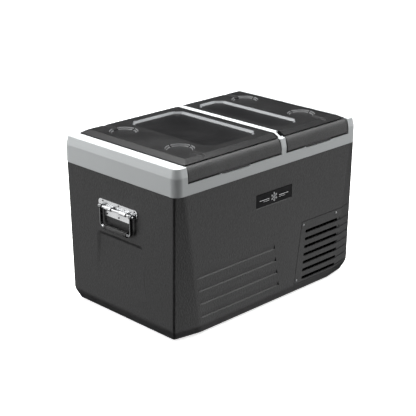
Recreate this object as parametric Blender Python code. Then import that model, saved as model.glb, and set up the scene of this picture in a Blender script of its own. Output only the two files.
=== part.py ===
"""Dual-lid compressor cooler fridge, modelled as separate pieces.

Metres, +Z up, +X along the length, front of the fridge towards -Y.
The origin is under the middle of the body, on the surface that it stands on.
"""
import math

import bmesh
import bpy
from mathutils import Matrix, Vector

# ---------------------------------------------------------------- driving sizes
LENGTH = 0.650              # over the collar, along X
DEPTH = 0.410               # over the collar, along Y
FOOT_HEIGHT = 0.004
CHAMFER_TOP = 0.030         # where the bottom chamfer meets the walls
COLLAR_BOTTOM = 0.370
COLLAR_SHOULDER = 0.4155    # where the collar's bevel starts
RIM_TOP = 0.437
PLATEAU = 0.447             # flat top of the lids and of the divider
SEAT = 0.401                # ledge that the lids' gaskets close on
GAP = 0.0004                # between pieces that touch
WALL = 0.004                # outer shell

HALF_X = LENGTH / 2
HALF_Y = DEPTH / 2
FRONT = -HALF_Y

# body: how far each wall stands in from the collar, at the top and above the chamfer
INSET_TOP = 0.0005
INSET_LOW = 0.0014
INSET_BACK_LOW = 0.0085
CHAMFER_RUN = 0.0112
FACET_SIDE_TOP = 0.0085     # corner facet, measured along the end wall, at the front, under the collar
FACET_SIDE = 0.0140         # and above the chamfer
FACET_SIDE_BACK = 0.0120    # at the back
FACET_TOP = 0.028           # the same along the front, under the collar
FACET_LOW = 0.0736          # and above the chamfer
SHELL_TOP = COLLAR_BOTTOM - GAP
BODY_LEVELS = 5

# collar and lids
COLLAR_RADIUS = 0.022
RIM_INSET = 0.005
BAY_OUTER = 0.288           # half the length over the two lid bays
BAY_BACK = 0.1844           # inner face of the collar's back wall
DIVIDER = (0.0295, 0.0526)
DIVIDER_FRONT = 0.047       # its front column is narrower, with a gap beside the right latch bar
LID_GAP = 0.0018
LID_BACK = 0.182
LID_FRONT_WALL = -0.1814
LIP_FRONT = -0.191
LIP_BOTTOM = 0.4392
PLATEAU_FRONT = -0.175
PLATEAU_BACK = 0.170
LID_BEVEL = 0.0162
LID_EDGE = 0.4375
LID_BOTTOM = 0.4072
LID_WALL = 0.0025
LID_SPANS = {
    "left": (-BAY_OUTER + 0.0025, DIVIDER[0] - LID_GAP),
    "right": (DIVIDER[1] + LID_GAP, BAY_OUTER - 0.0025),
}
CUP_RADIUS = 0.036
CUP_DEPTH = 0.006
CUP_X = 0.217
CUP_YS = (-0.103, 0.098)
CHANNEL_WIDTH = 0.016
RECESS_DEPTH = 0.0042
RECESS_Y = (-0.150, 0.145)
RECESS_CHAMFER = 0.022
RECESS_X = {"left": (-0.166, 0.011), "right": (0.070, 0.164)}

# lid hinges
HINGE_Y = 0.1835
HINGE_Z = 0.4374
HINGE_RADIUS = 0.0032
HINGE_BORE = 0.0019
HINGE_PIN = 0.0015
HINGE_HALF = 0.090
KNUCKLE_HALF = 0.030
LEAF = 0.0013
LEAF_BOTTOM = 0.409
HINGE_POCKET_HALF = 0.0915
HINGE_POCKET_BACK = 0.187
HINGE_NOTCH = 0.180

# latch bars along the front of the lids
LATCH_Y = -0.189
LATCH_Z = 0.4308
LATCH_BARREL = 0.0056
LATCH_BORE = 0.0018
LATCH_PIN = 0.0014
EAR_RADIUS = 0.0032
EAR_OFFSET = 0.085
EAR_HALF = 0.005
SCOOP_HALF = 0.052
LATCH_ENDS = {"left": (-0.2840, 0.0284), "right": (0.0530, 0.2840)}

# tubs inside: outer size of each, and the depth of its floor
TUB_WALL = 0.002
TUB_Y = (-0.167, 0.167)
TUB_TOP = 0.4003
TUBS = {"left": (-0.270, 0.015, 0.043), "right": (0.067, 0.272, 0.233)}
FLANGE = 0.008
BAY_X = 0.075               # left wall of the machine bay
BAY_TOP = 0.213

# end handles
HANDLE_PIN_Z = 0.2905
HANDLE_PIN_OUT = 0.0085     # pin axis, out from the wall
HANDLE_PIN_RADIUS = 0.003
HANDLE_BORE = 0.0034
HANDLE_LEG_Y = 0.055
HANDLE_DROP = 0.0505
HANDLE_ROD = 0.0044
HANDLE_CORNER = 0.012
HANDLE_PIN_HALF = 0.064
GRIP_HALF = 0.041
GRIP_RADIUS = 0.0064
WALL_X = HALF_X - 0.0008    # end wall at the handles' height

# panels on the front
VENT_TOP = 0.197
VENT_BOTTOM = 0.0305
VENT_LEFT_TOP = 0.116
VENT_LEFT_BOTTOM = 0.0905
VENT_THICK = 0.0026
SLOT_COUNT = 7
SLOT_TOP = 0.168
SLOT_PITCH = 0.0212
SLOT_HEIGHT = 0.0075
GROOVE_COUNT = 4
GROOVE_TOP = 0.160
GROOVE_PITCH = 0.0348
GROOVE_HEIGHT = 0.016
GROOVE_DEPTH = 0.003
BADGE_X = (-0.057, 0.070)
BADGE_Z = (0.278, 0.3115)

# recessed fields under the end handles: a wedge on the left, flat on the right
FIELD_TOP = 0.2205
FIELD_LOW = 0.075
FIELD_TOP_HALF = 0.083
FIELD_LOW_HALF = 0.095
FIELD_CORNER = 0.010
WEDGE_DEPTH = 0.007
FIELD_DEPTH = 0.005

# control panel and power inlets on the right end
PANEL_Z = 0.172
PANEL_HALF_Y = 0.066
PANEL_HALF_Z = 0.024
PANEL_HOLE = 0.0595         # half of the hole in the wall; the buttons move inside it
BUTTON_RADIUS = 0.0062
INLET_SPANS = ((-0.046, -0.020), (0.012, 0.046))
INLET_HOLE_Z = (0.097, 0.121)

ROUND = 24                  # sides of a small round piece


# ---------------------------------------------------------------- small tools
def material(name, colour, roughness, metallic=0.0):
    """One plain Principled material."""
    mat = bpy.data.materials.new(name)
    mat.use_nodes = True
    shader = mat.node_tree.nodes["Principled BSDF"]
    shader.inputs["Base Color"].default_value = (*colour, 1.0)
    shader.inputs["Roughness"].default_value = roughness
    shader.inputs["Metallic"].default_value = metallic
    return mat


def finish(name, bm, mat=None):
    """Turn a bmesh into an object with its faces pointing out."""
    bmesh.ops.recalc_face_normals(bm, faces=bm.faces)
    mesh = bpy.data.meshes.new(name)
    bm.to_mesh(mesh)
    bm.free()
    obj = bpy.data.objects.new(name, mesh)
    bpy.context.collection.objects.link(obj)
    if mat is not None:
        mesh.materials.append(mat)
    return obj


def loft(name, rings, mat=None, twisted=False):
    """A closed solid through rings of points, capped at both ends.

    A twisted one has its corner facets (every second side) split along their convex diagonal."""
    bm = bmesh.new()
    loops = [[bm.verts.new(point) for point in ring] for ring in rings]
    count = len(loops[0])
    for low, high in zip(loops, loops[1:]):
        for i in range(count):
            j = (i + 1) % count
            if twisted and i % 4 == 0:
                bm.faces.new((low[i], low[j], high[i]))
                bm.faces.new((low[j], high[j], high[i]))
            elif twisted and i % 4 == 2:
                bm.faces.new((low[i], low[j], high[j]))
                bm.faces.new((low[i], high[j], high[i]))
            else:
                bm.faces.new((low[i], low[j], high[j], high[i]))
    bm.faces.new(loops[0])
    bm.faces.new(loops[-1])
    return finish(name, bm, mat)


def prism(name, outline, axis, start, end, mat=None):
    """A flat outline, given in the two other axes, pushed along X, Y or Z."""
    def place(pair, along):
        point = list(pair)
        point.insert("XYZ".index(axis), along)
        return point

    rings = [[place(pair, along) for pair in outline] for along in (start, end)]
    return loft(name, rings, mat)


def block(name, x, y, z, mat=None):
    """A box between two values on each axis."""
    outline = [(x[0], y[0]), (x[1], y[0]), (x[1], y[1]), (x[0], y[1])]
    return prism(name, outline, "Z", z[0], z[1], mat)


def circle(centre, radius, sides=ROUND, start=0.0):
    """Points of a circle in a plane."""
    turn = 2 * math.pi / sides
    return [(centre[0] + radius * math.cos(start + i * turn),
             centre[1] + radius * math.sin(start + i * turn)) for i in range(sides)]


def rod(name, axis, centre, radius, start, end, mat=None, sides=ROUND):
    """A cylinder along X, Y or Z."""
    return prism(name, circle(centre, radius, sides), axis, start, end, mat)


def solid(target, tool, operation):
    """Apply one Boolean and remove its tool."""
    modifier = target.modifiers.new("Boolean", "BOOLEAN")
    modifier.operation = operation
    modifier.solver = "EXACT"
    modifier.object = tool
    graph = bpy.context.evaluated_depsgraph_get()
    mesh = bpy.data.meshes.new_from_object(target.evaluated_get(graph))
    target.modifiers.remove(modifier)
    old = target.data
    target.data = mesh
    bpy.data.meshes.remove(old)
    drop(tool)
    return target


def drop(obj):
    """Remove a tool and its mesh."""
    mesh = obj.data
    bpy.data.objects.remove(obj)
    bpy.data.meshes.remove(mesh)


def cut(target, *tools):
    for tool in tools:
        solid(target, tool, "DIFFERENCE")
    return target


def join(target, *tools):
    for tool in tools:
        solid(target, tool, "UNION")
    return target


def keep(target, tool):
    return solid(target, tool, "INTERSECT")


def smooth(obj, angle=35.0):
    """Shade the rounds smooth and leave the edges sharp."""
    obj.data.shade_smooth()
    obj.data.set_sharp_from_angle(angle=math.radians(angle))
    return obj


def pivot(obj, point):
    """Move an object's origin onto its joint's axis."""
    offset = Vector(point)
    obj.data.transform(Matrix.Translation(-offset))
    obj.location = offset
    return obj


def rounded(half_x, half_y, radius, z, steps=5):
    """A rectangle with rounded corners, centred on the origin."""
    points = []
    for quarter, (sx, sy) in enumerate(((1, 1), (-1, 1), (-1, -1), (1, -1))):
        cx = sx * (half_x - radius)
        cy = sy * (half_y - radius)
        for step in range(steps + 1):
            angle = math.radians(90) * (quarter + step / steps)
            points.append((cx + radius * math.cos(angle), cy + radius * math.sin(angle), z))
    return points


def octagon(x, y, corner):
    """A rectangle with its four corners cut at 45 degrees."""
    return [(x[0] + corner, y[0]), (x[1] - corner, y[0]), (x[1], y[0] + corner), (x[1], y[1] - corner),
            (x[1] - corner, y[1]), (x[0] + corner, y[1]), (x[0], y[1] - corner), (x[0], y[0] + corner)]


def grown(span, by):
    """A pair of limits moved apart by the same amount."""
    return (span[0] - by, span[1] + by)


# ---------------------------------------------------------------- materials
PLASTIC_DARK = material("dark_moulded_plastic", (0.055, 0.056, 0.058), 0.55)
PLASTIC_LID = material("dark_lid_plastic", (0.045, 0.046, 0.048), 0.45)
PLASTIC_GREY = material("light_grey_plastic", (0.36, 0.37, 0.37), 0.4)
TRIM_GREY = material("silver_trim", (0.42, 0.43, 0.44), 0.3, 0.6)
LINER_GREY = material("liner_plastic", (0.62, 0.63, 0.64), 0.35)
FOAM = material("insulating_foam", (0.78, 0.70, 0.48), 0.9)
RUBBER = material("black_rubber", (0.02, 0.02, 0.02), 0.8)
CHROME = material("chrome", (0.75, 0.76, 0.78), 0.08, 1.0)
STEEL = material("plated_steel", (0.55, 0.56, 0.57), 0.3, 1.0)
WIRE = material("coated_wire", (0.75, 0.76, 0.77), 0.3)
BLACK = material("black_plastic", (0.012, 0.012, 0.013), 0.35)
COPPER = material("copper", (0.62, 0.30, 0.18), 0.3, 1.0)
ALUMINIUM = material("aluminium_fins", (0.6, 0.61, 0.62), 0.35, 1.0)
LENS = material("dark_display_lens", (0.01, 0.012, 0.016), 0.08)


# ---------------------------------------------------------------- body
def facet_at(z):
    """Length of the corner facet along the front wall at a height."""
    share = (SHELL_TOP - z) / (SHELL_TOP - CHAMFER_TOP)
    return FACET_TOP + (FACET_LOW - FACET_TOP) * share


def body_ring(z, inset=0.0):
    """The eight-sided outline of the body at a height, moved in by an inset."""
    share = min(1.0, (SHELL_TOP - z) / (SHELL_TOP - CHAMFER_TOP))
    ends = INSET_TOP + (INSET_LOW - INSET_TOP) * share
    back = INSET_TOP + (INSET_BACK_LOW - INSET_TOP) * share
    front = ends
    if z < CHAMFER_TOP:
        run = CHAMFER_RUN * (CHAMFER_TOP - z) / (CHAMFER_TOP - FOOT_HEIGHT)
        ends, back, front = ends + run, back + run, front + run
    x = HALF_X - ends - inset
    y0 = -HALF_Y + front + inset
    y1 = HALF_Y - back - inset
    along = facet_at(max(z, CHAMFER_TOP)) - inset * 0.8
    front_side = y0 + FACET_SIDE_TOP + (FACET_SIDE - FACET_SIDE_TOP) * share - inset * 0.2
    back_side = y1 - FACET_SIDE_BACK + inset * 0.2
    return [(x - along, y0, z), (x, front_side, z), (x, back_side, z), (x - along, y1, z),
            (-x + along, y1, z), (-x, back_side, z), (-x, front_side, z), (-x + along, y0, z)]


def body_solid(name, inset, bottom, top, extra_top=0.0):
    """The body's outer form, moved in by an inset, between two heights."""
    heights = [bottom]
    if bottom < CHAMFER_TOP:
        heights.append(CHAMFER_TOP + inset * 0.4)
    low = heights[-1]
    heights += [low + (top - low) * i / BODY_LEVELS for i in range(1, BODY_LEVELS + 1)]
    rings = [body_ring(z, inset) for z in heights]
    if extra_top:
        rings.append([(x, y, z + extra_top) for x, y, z in rings[-1]])
    return loft(name, rings, twisted=True)


def field_outline():
    """The trapezoid under an end handle, in Y and Z."""
    half, corner = FIELD_TOP_HALF, FIELD_CORNER
    return [(-FIELD_LOW_HALF, FIELD_LOW), (FIELD_LOW_HALF, FIELD_LOW), (half + 0.001, FIELD_TOP - corner),
            (half - corner, FIELD_TOP), (-half + corner, FIELD_TOP), (-half - 0.001, FIELD_TOP - corner)]


def left_recess(name, extra):
    """A wedge-shaped recess: deepest at its top edge, flush at its foot."""
    wall = -HALF_X + INSET_LOW
    outer, inner = [], []
    for y, z in field_outline():
        share = (z - FIELD_LOW) / (FIELD_TOP - FIELD_LOW)
        place = (y * (1 + extra * 10), z + (extra if share > 0.5 else -extra))
        outer.append((wall - 0.010, *place))
        inner.append((wall + WEDGE_DEPTH * share + 0.0001 + extra, *place))
    return loft(name, [outer, inner])


def right_field(name, depth, grow):
    """A flat recess of the same outline on the right end, for the control panel."""
    outline = [(y * (1 + grow * 10), z + grow * (1 if z > 0.15 else -1)) for y, z in field_outline()]
    return prism(name, outline, "X", HALF_X - INSET_LOW - depth, HALF_X + 0.010)


def groove(name, index):
    """One long groove of the front, with a sloping upper lip and a short lower one."""
    top = GROOVE_TOP + 0.008 - GROOVE_PITCH * index
    bottom = top - GROOVE_HEIGHT
    upper_slope = 0.004
    lower_slope = 0.002
    y_in = FRONT + INSET_LOW + GROOVE_DEPTH
    y_out = FRONT - 0.004
    share = (y_in - y_out) / (y_in - (FRONT + INSET_LOW - 0.0004))
    profile = [(y_in, bottom + lower_slope), (y_in, top - upper_slope),
               (y_out, top - upper_slope * (1 - share)), (y_out, bottom + lower_slope * (1 - share))]
    x0 = -HALF_X + facet_at((top + bottom) / 2) + 0.004
    x1 = 0.011 + 0.0058 * index
    return prism(name, profile, "X", x0, x1)


def vent_outline(grow):
    """The vent panel's outline in X and Z; its right side runs out past the corner."""
    return [(VENT_LEFT_BOTTOM - grow, VENT_BOTTOM - grow), (HALF_X + 0.02, VENT_BOTTOM - grow),
            (HALF_X + 0.02, VENT_TOP + grow), (VENT_LEFT_TOP - grow, VENT_TOP + grow)]


def slot_limits(index):
    """Left end, right end and middle height of one vent slot."""
    z = SLOT_TOP - SLOT_PITCH * index
    return 0.131 - 0.0017 * index, HALF_X - facet_at(z) - 0.002, z


def outer_shell():
    shell = body_solid("outer_shell", 0.0, FOOT_HEIGHT, SHELL_TOP)
    cavity = body_solid("cavity", WALL, FOOT_HEIGHT + WALL, SHELL_TOP, extra_top=0.01)
    cut(cavity, left_recess("left_boss", 0.0035))
    cut(cavity, right_field("right_boss", FIELD_DEPTH + WALL, 0.003))
    cut(shell, cavity)
    cut(shell, left_recess("left_cut", 0.0), right_field("right_cut", FIELD_DEPTH, 0.0))
    for index in range(GROOVE_COUNT):
        cut(shell, groove("groove", index))
    # badge pocket
    cut(shell, block("pocket", BADGE_X, (FRONT - 0.01, FRONT + INSET_LOW + 0.0024), BADGE_Z))
    # rebate that the vent panel lies in, and the window behind it
    rebate = prism("rebate", vent_outline(GAP), "Y", FRONT - 0.01, FRONT + FACET_SIDE + 0.0005)
    cut(rebate, body_solid("rebate_floor", VENT_THICK + GAP, FOOT_HEIGHT + 0.002, SHELL_TOP))
    cut(shell, rebate)
    window = [(0.112, 0.036), (HALF_X - 0.064, 0.036), (HALF_X - 0.064, 0.184), (0.122, 0.184)]
    cut(shell, prism("window", window, "Y", FRONT - 0.01, FRONT + 0.012))
    # openings on the right end for the control panel and the two inlets
    cut(shell, block("panel_hole", (HALF_X - 0.03, HALF_X + 0.01), (-PANEL_HOLE, PANEL_HOLE),
                     (PANEL_Z - 0.018, PANEL_Z + 0.018)))
    for low, high in INLET_SPANS:
        cut(shell, block("inlet_hole", (HALF_X - 0.03, HALF_X + 0.01), (low, high), INLET_HOLE_Z))
    shell.data.materials.append(PLASTIC_DARK)
    return smooth(shell, 10)


def foam_insulation():
    foam = body_solid("foam_insulation", WALL + GAP, FOOT_HEIGHT + WALL + GAP, 0.3655)
    cut(foam, left_recess("left_boss", 0.0045))
    cut(foam, right_field("right_boss", FIELD_DEPTH + WALL + 0.001, 0.004))
    for name, (x0, x1, floor) in TUBS.items():
        cut(foam, block("tub_" + name, grown((x0, x1), GAP), grown(TUB_Y, GAP), (floor - GAP, 0.4)))
    cut(foam, block("bay", (BAY_X, 0.4), (-0.3, 0.3), (0.0, BAY_TOP)))
    foam.data.materials.append(FOAM)
    return foam


def liner(side):
    """One food tub with a flange that the collar clamps down."""
    x0, x1, floor = TUBS[side]
    tub = block("liner_" + side, (x0, x1), TUB_Y, (floor, TUB_TOP))
    flange = block("flange", grown((x0, x1), FLANGE), grown(TUB_Y, FLANGE),
                   (0.3664, COLLAR_BOTTOM - GAP))
    join(tub, flange)
    inside = block("inside", grown((x0, x1), -TUB_WALL), grown(TUB_Y, -TUB_WALL), (floor + TUB_WALL, 0.45))
    cut(tub, inside)
    tub.data.materials.append(LINER_GREY)
    return tub


def basket(side):
    """An open wire basket that stands on the floor of its tub."""
    x0, x1, floor = TUBS[side]
    x = grown((x0, x1), -TUB_WALL - 0.006)
    y = grown(TUB_Y, -TUB_WALL - 0.006)
    z = (floor + TUB_WALL + 0.004, 0.384)
    cells = {"left": (5, 6, 5), "right": (4, 6, 2)}[side]
    bm = bmesh.new()
    grid = {}

    def vert(i, j, k):
        if (i, j, k) not in grid:
            grid[(i, j, k)] = bm.verts.new((x[0] + (x[1] - x[0]) * i / cells[0],
                                            y[0] + (y[1] - y[0]) * j / cells[1],
                                            z[0] + (z[1] - z[0]) * k / cells[2]))
        return grid[(i, j, k)]

    for i in range(cells[0]):
        for j in range(cells[1]):
            bm.faces.new((vert(i, j, 0), vert(i, j + 1, 0), vert(i + 1, j + 1, 0), vert(i + 1, j, 0)))
    for k in range(cells[2]):
        for i in range(cells[0]):
            for j in (0, cells[1]):
                bm.faces.new((vert(i, j, k), vert(i + 1, j, k),
                              vert(i + 1, j, k + 1), vert(i, j, k + 1)))
        for j in range(cells[1]):
            for i in (0, cells[0]):
                bm.faces.new((vert(i, j, k), vert(i, j + 1, k),
                              vert(i, j + 1, k + 1), vert(i, j, k + 1)))
    obj = finish("basket_" + side, bm, WIRE)
    wires = obj.modifiers.new("Wires", "WIREFRAME")
    wires.thickness = 0.0036
    wires.use_boundary = True
    wires.use_replace = True
    wires.use_even_offset = True
    return obj


# ---------------------------------------------------------------- collar
def front_profile():
    """The rounded front of the divider and the latch bars, from foot to bevel, in Y and Z."""
    return [(FRONT + 0.0004, 0.4035), (FRONT + 0.0006, 0.4105), (FRONT + 0.0012, 0.4171),
            (FRONT + 0.0033, 0.4250), (FRONT + 0.0069, 0.4318), (FRONT + 0.0100, 0.4356)]


def collar_frame():
    rings = [rounded(HALF_X, HALF_Y, COLLAR_RADIUS, COLLAR_BOTTOM),
             rounded(HALF_X, HALF_Y, COLLAR_RADIUS, COLLAR_SHOULDER),
             rounded(HALF_X - RIM_INSET, HALF_Y - RIM_INSET, COLLAR_RADIUS - RIM_INSET, RIM_TOP)]
    collar = loft("collar_frame", rings)
    bays = ((-BAY_OUTER, DIVIDER[0]), (DIVIDER[1], BAY_OUTER))
    for span in bays:
        cut(collar, block("bay", span, (FRONT - 0.02, BAY_BACK), (SEAT, RIM_TOP + 0.05)))
    profile = [(FRONT + 0.0002, SEAT - 0.004)] + front_profile()
    profile += [(LIP_FRONT, 0.4390), (PLATEAU_FRONT, PLATEAU), (PLATEAU_BACK, PLATEAU),
                (BAY_BACK, RIM_TOP + 0.0003), (BAY_BACK + 0.002, SEAT - 0.004)]
    join(collar, prism("divider", profile, "X", DIVIDER[0], DIVIDER[1]))
    cut(collar, block("column_gap", (DIVIDER_FRONT, DIVIDER[1] + 0.001),
                      (FRONT - 0.01, PLATEAU_FRONT + 0.005), (SEAT, PLATEAU + 0.01)))
    for name, (x0, x1, _) in TUBS.items():
        cut(collar, block("mouth_" + name, grown((x0, x1), GAP), grown(TUB_Y, GAP), (0.3, SEAT + 0.01)))
    for side, (x0, x1) in LID_SPANS.items():
        middle = (x0 + x1) / 2
        cut(collar, block("pocket", (middle - HINGE_POCKET_HALF, middle + HINGE_POCKET_HALF),
                          (BAY_BACK - 0.002, HINGE_POCKET_BACK), (0.4055, RIM_TOP + 0.01)))
        scoop = [(middle - SCOOP_HALF + 0.007, 0.3945), (middle + SCOOP_HALF - 0.007, 0.3945),
                 (middle + SCOOP_HALF, SEAT + 0.002), (middle - SCOOP_HALF, SEAT + 0.002)]
        cut(collar, prism("scoop", scoop, "Y", FRONT - 0.01, FRONT + 0.010))
    collar.data.materials.append(PLASTIC_GREY)
    return smooth(collar, 25)


# ---------------------------------------------------------------- lids
def latch_middle(side):
    x0, x1 = LID_SPANS[side]
    return (x0 + x1) / 2


def outer_sign(side):
    return -1 if side == "left" else 1


def channel_span(side):
    centre = CUP_X * outer_sign(side)
    return centre - CHANNEL_WIDTH / 2, centre + CHANNEL_WIDTH / 2


def lid_hollows(side, grow, drop_floor):
    """Solids for the cups, their drain channels and the eight-sided recess of one lid.

    With grow and drop_floor at nought they cut the hollows; larger ones give the bosses below."""
    centre_x = CUP_X * outer_sign(side)
    top = PLATEAU + 0.003
    tools = []
    recess = octagon(grown(RECESS_X[side], grow), grown(RECESS_Y, grow), RECESS_CHAMFER)
    tools.append(prism("recess", recess, "Z", PLATEAU - RECESS_DEPTH - drop_floor, top))
    for cup_y, edge in zip(CUP_YS, (LIP_FRONT, LID_BACK)):
        tools.append(rod("cup", "Z", (centre_x, cup_y), CUP_RADIUS + grow,
                         PLATEAU - CUP_DEPTH - drop_floor, top, sides=40))
        away = -1 if cup_y < 0 else 1
        start = cup_y + away * (CUP_RADIUS - 0.004)
        end = edge + away * 0.004
        low = PLATEAU - CUP_DEPTH + 0.0004 - drop_floor
        fall = 0.0016 if away < 0 else 0.0030
        profile = [(start, low), (start, top), (end, top), (end, low - fall)]
        x0, x1 = channel_span(side)
        tools.append(prism("channel", profile, "X", x0 - grow, x1 + grow))
    return tools


def lid_block(name, side, inset):
    """The outer form of a lid, or, moved in, its cavity. It slopes on three sides."""
    x0, x1 = LID_SPANS[side]
    slope_left = LID_BEVEL if side == "left" else 0.0
    slope_right = LID_BEVEL if side == "right" else 0.0
    top = PLATEAU - inset

    def ring(x, y, z):
        return [(x[0], y[0], z), (x[1], y[0], z), (x[1], y[1], z), (x[0], y[1], z)]

    sides = grown((x0, x1), -inset)
    upper = (x0 + max(slope_left, inset), x1 - max(slope_right, inset))
    foot_y = (LID_FRONT_WALL + inset, LID_BACK - inset)
    if inset:
        return loft(name, [ring(sides, foot_y, LID_BOTTOM - 0.01), ring(sides, foot_y, LID_EDGE - inset),
                           ring(upper, (PLATEAU_FRONT, PLATEAU_BACK), top)])
    rings = [ring(sides, foot_y, LID_BOTTOM), ring(sides, foot_y, LIP_BOTTOM)]
    lower = loft(name, rings)
    lip = loft("lip", [ring(sides, (LIP_FRONT, LID_BACK), LIP_BOTTOM),
                       ring(sides, (LIP_FRONT, LID_BACK), LIP_BOTTOM + 0.0006),
                       ring(upper, (PLATEAU_FRONT, PLATEAU_BACK), top)])
    return join(lower, lip)


def lid_cover(side):
    cover = lid_block("lid_%s_cover" % side, side, 0.0)
    middle = latch_middle(side)
    # ears that carry the latch bar's pin
    for offset in (-EAR_OFFSET, EAR_OFFSET):
        x = middle + offset
        ear = rod("ear", "X", (LATCH_Y, LATCH_Z), EAR_RADIUS, x - EAR_HALF, x + EAR_HALF, sides=16)
        neck = block("neck", (x - EAR_HALF, x + EAR_HALF), (LATCH_Y, LID_FRONT_WALL + 0.001),
                     (LATCH_Z - 0.0025, LATCH_Z + 0.0025))
        join(ear, neck)
        join(cover, ear)
    cavity = lid_block("cavity", side, LID_WALL)
    cut(cavity, *lid_hollows(side, LID_WALL, LID_WALL))
    cut(cover, cavity)
    cut(cover, *lid_hollows(side, 0.0, 0.0))
    cut(cover, rod("bore", "X", (LATCH_Y, LATCH_Z), LATCH_BORE, middle - 0.1, middle + 0.1, sides=16))
    cut(cover, block("notch", (middle - HINGE_POCKET_HALF, middle + HINGE_POCKET_HALF),
                     (HINGE_NOTCH, LID_BACK + 0.01), (LID_BOTTOM - 0.01, PLATEAU + 0.01)))
    cover.data.materials.append(PLASTIC_LID)
    smooth(cover, 25)
    return pivot(cover, (middle, HINGE_Y, HINGE_Z))


def lid_trim(side):
    """Silver band that lines the wall of the eight-sided recess."""
    x, y = RECESS_X[side], RECESS_Y
    floor = PLATEAU - RECESS_DEPTH + 0.0003
    corner = RECESS_CHAMFER

    def ring(inset, z):
        outline = octagon(grown(x, -inset), grown(y, -inset), corner - inset * 0.58)
        return [(px, py, z) for px, py in outline]

    band = loft("lid_%s_trim" % side, [ring(0.0004, floor), ring(0.0004, PLATEAU - 0.0002)])
    cut(band, loft("inside", [ring(0.0110 + 0.0015, floor - 0.0005),
                              ring(0.0013 - 0.0004, PLATEAU + 0.0003)]))
    band.data.materials.append(TRIM_GREY)
    return pivot(band, (latch_middle(side), HINGE_Y, HINGE_Z))


def lid_liner(side):
    """Inner skin of a lid: a flat edge with a tray that drops into the tub's mouth."""
    x = grown(LID_SPANS[side], -0.0015)
    y = (LID_FRONT_WALL + 0.0015, LID_BACK - 0.0015)
    plug_x = grown(TUBS[side][:2], -0.007)
    plug_y = grown(TUB_Y, -0.007)
    top = LID_BOTTOM - GAP
    skin = block("lid_%s_liner" % side, x, y, (top - 0.002, top))
    plug = block("plug", plug_x, plug_y, (0.3915, top - 0.001))
    join(skin, plug)
    cut(skin, block("inside", grown(plug_x, -0.002), grown(plug_y, -0.002), (0.3935, top + 0.01)))
    notch = grown((latch_middle(side), latch_middle(side)), HINGE_POCKET_HALF)
    cut(skin, block("notch", notch, (HINGE_NOTCH, LID_BACK + 0.01), (0.38, PLATEAU)))
    skin.data.materials.append(LINER_GREY)
    return pivot(skin, (latch_middle(side), HINGE_Y, HINGE_Z))


def lid_foam(side):
    """Insulating slab between a lid's cover and its liner."""
    x = grown(LID_SPANS[side], -LID_WALL - 0.0006)
    y = (LID_FRONT_WALL + LID_WALL + 0.0006, HINGE_NOTCH - LID_WALL - 0.0006)
    slab = block("lid_%s_foam" % side, x, y, (LID_BOTTOM + 0.0002, 0.4345))
    plug_x = grown(TUBS[side][:2], -0.0095)
    plug_y = grown(TUB_Y, -0.0095)
    join(slab, block("plug", plug_x, plug_y, (0.3940, 0.420)))
    slab.data.materials.append(FOAM)
    return pivot(slab, (latch_middle(side), HINGE_Y, HINGE_Z))


def lid_gasket(side):
    """Flat rubber seal under the edge of a lid."""
    x0, x1, _ = TUBS[side]
    outer_x, outer_y = grown((x0, x1), 0.0115), grown(TUB_Y, 0.0115)
    z = (SEAT + 0.0003, LID_BOTTOM - GAP - 0.002 - 0.0003)
    ring = prism("lid_%s_gasket" % side, octagon(outer_x, outer_y, 0.008), "Z", *z)
    inner_x, inner_y = grown((x0, x1), 0.0035), grown(TUB_Y, 0.0035)
    cut(ring, prism("inside", octagon(inner_x, inner_y, 0.005), "Z", z[0] - 0.01, z[1] + 0.01))
    ring.data.materials.append(RUBBER)
    return pivot(ring, (latch_middle(side), HINGE_Y, HINGE_Z))


def latch_outline():
    """Cross-section of a latch bar in Y and Z: a skin that curls from its barrel to its foot."""
    outer = front_profile()
    start, end = math.radians(142), math.radians(-60)
    steps = 12
    barrel = []
    for i in range(steps + 1):
        angle = start + (end - start) * i / steps
        barrel.append((LATCH_Y + LATCH_BARREL * math.cos(angle), LATCH_Z + LATCH_BARREL * math.sin(angle)))
    inner = [(FRONT + 0.0115, 0.4225), (FRONT + 0.0068, 0.4165), (FRONT + 0.0058, 0.4085),
             (FRONT + 0.0085, 0.4050), (FRONT + 0.0085, 0.4022), (FRONT + 0.0022, 0.4022)]
    return outer + barrel + inner


def latch_bar(side):
    x0, x1 = LATCH_ENDS[side]
    middle = latch_middle(side)
    bar = prism("lid_%s_latch" % side, latch_outline(), "X", x0, x1)
    join(bar, block("tongue", (middle - 0.018, middle + 0.018), (FRONT + 0.004, FRONT + 0.0125),
                    (0.4045, 0.4085)))
    cut(bar, rod("bore", "X", (LATCH_Y, LATCH_Z), LATCH_BORE, x0 - 0.01, x1 + 0.01, sides=16))
    for offset in (-EAR_OFFSET, EAR_OFFSET):
        x = middle + offset
        span = (x - EAR_HALF - 0.0008, x + EAR_HALF + 0.0008)
        cut(bar, rod("round", "X", (LATCH_Y, LATCH_Z), EAR_RADIUS + 0.0005, span[0], span[1], sides=16))
        cut(bar, block("slot", span, (LATCH_Y, LATCH_Y + 0.01), (LATCH_Z - 0.012, LATCH_Z + 0.01)))
    bar.data.materials.append(PLASTIC_LID)
    smooth(bar, 30)
    return pivot(bar, (middle, LATCH_Y, LATCH_Z))


def latch_pin(side):
    x0, x1 = LATCH_ENDS[side]
    pin = rod("lid_%s_latch_pin" % side, "X", (LATCH_Y, LATCH_Z), LATCH_PIN, x0 + 0.004, x1 - 0.004,
              STEEL, sides=12)
    return smooth(pin)


def latch_strike(side):
    """Catch on the collar's ledge, behind the foot of a latch bar."""
    middle = latch_middle(side)
    profile = [(FRONT + 0.0135, SEAT + 0.0003), (FRONT + 0.0215, SEAT + 0.0003),
               (FRONT + 0.0215, SEAT + 0.0030), (FRONT + 0.0165, 0.4095), (FRONT + 0.0140, 0.4095)]
    strike = prism("latch_strike_" + side, profile, "X", middle - 0.016, middle + 0.016, STEEL)
    return strike


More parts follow.
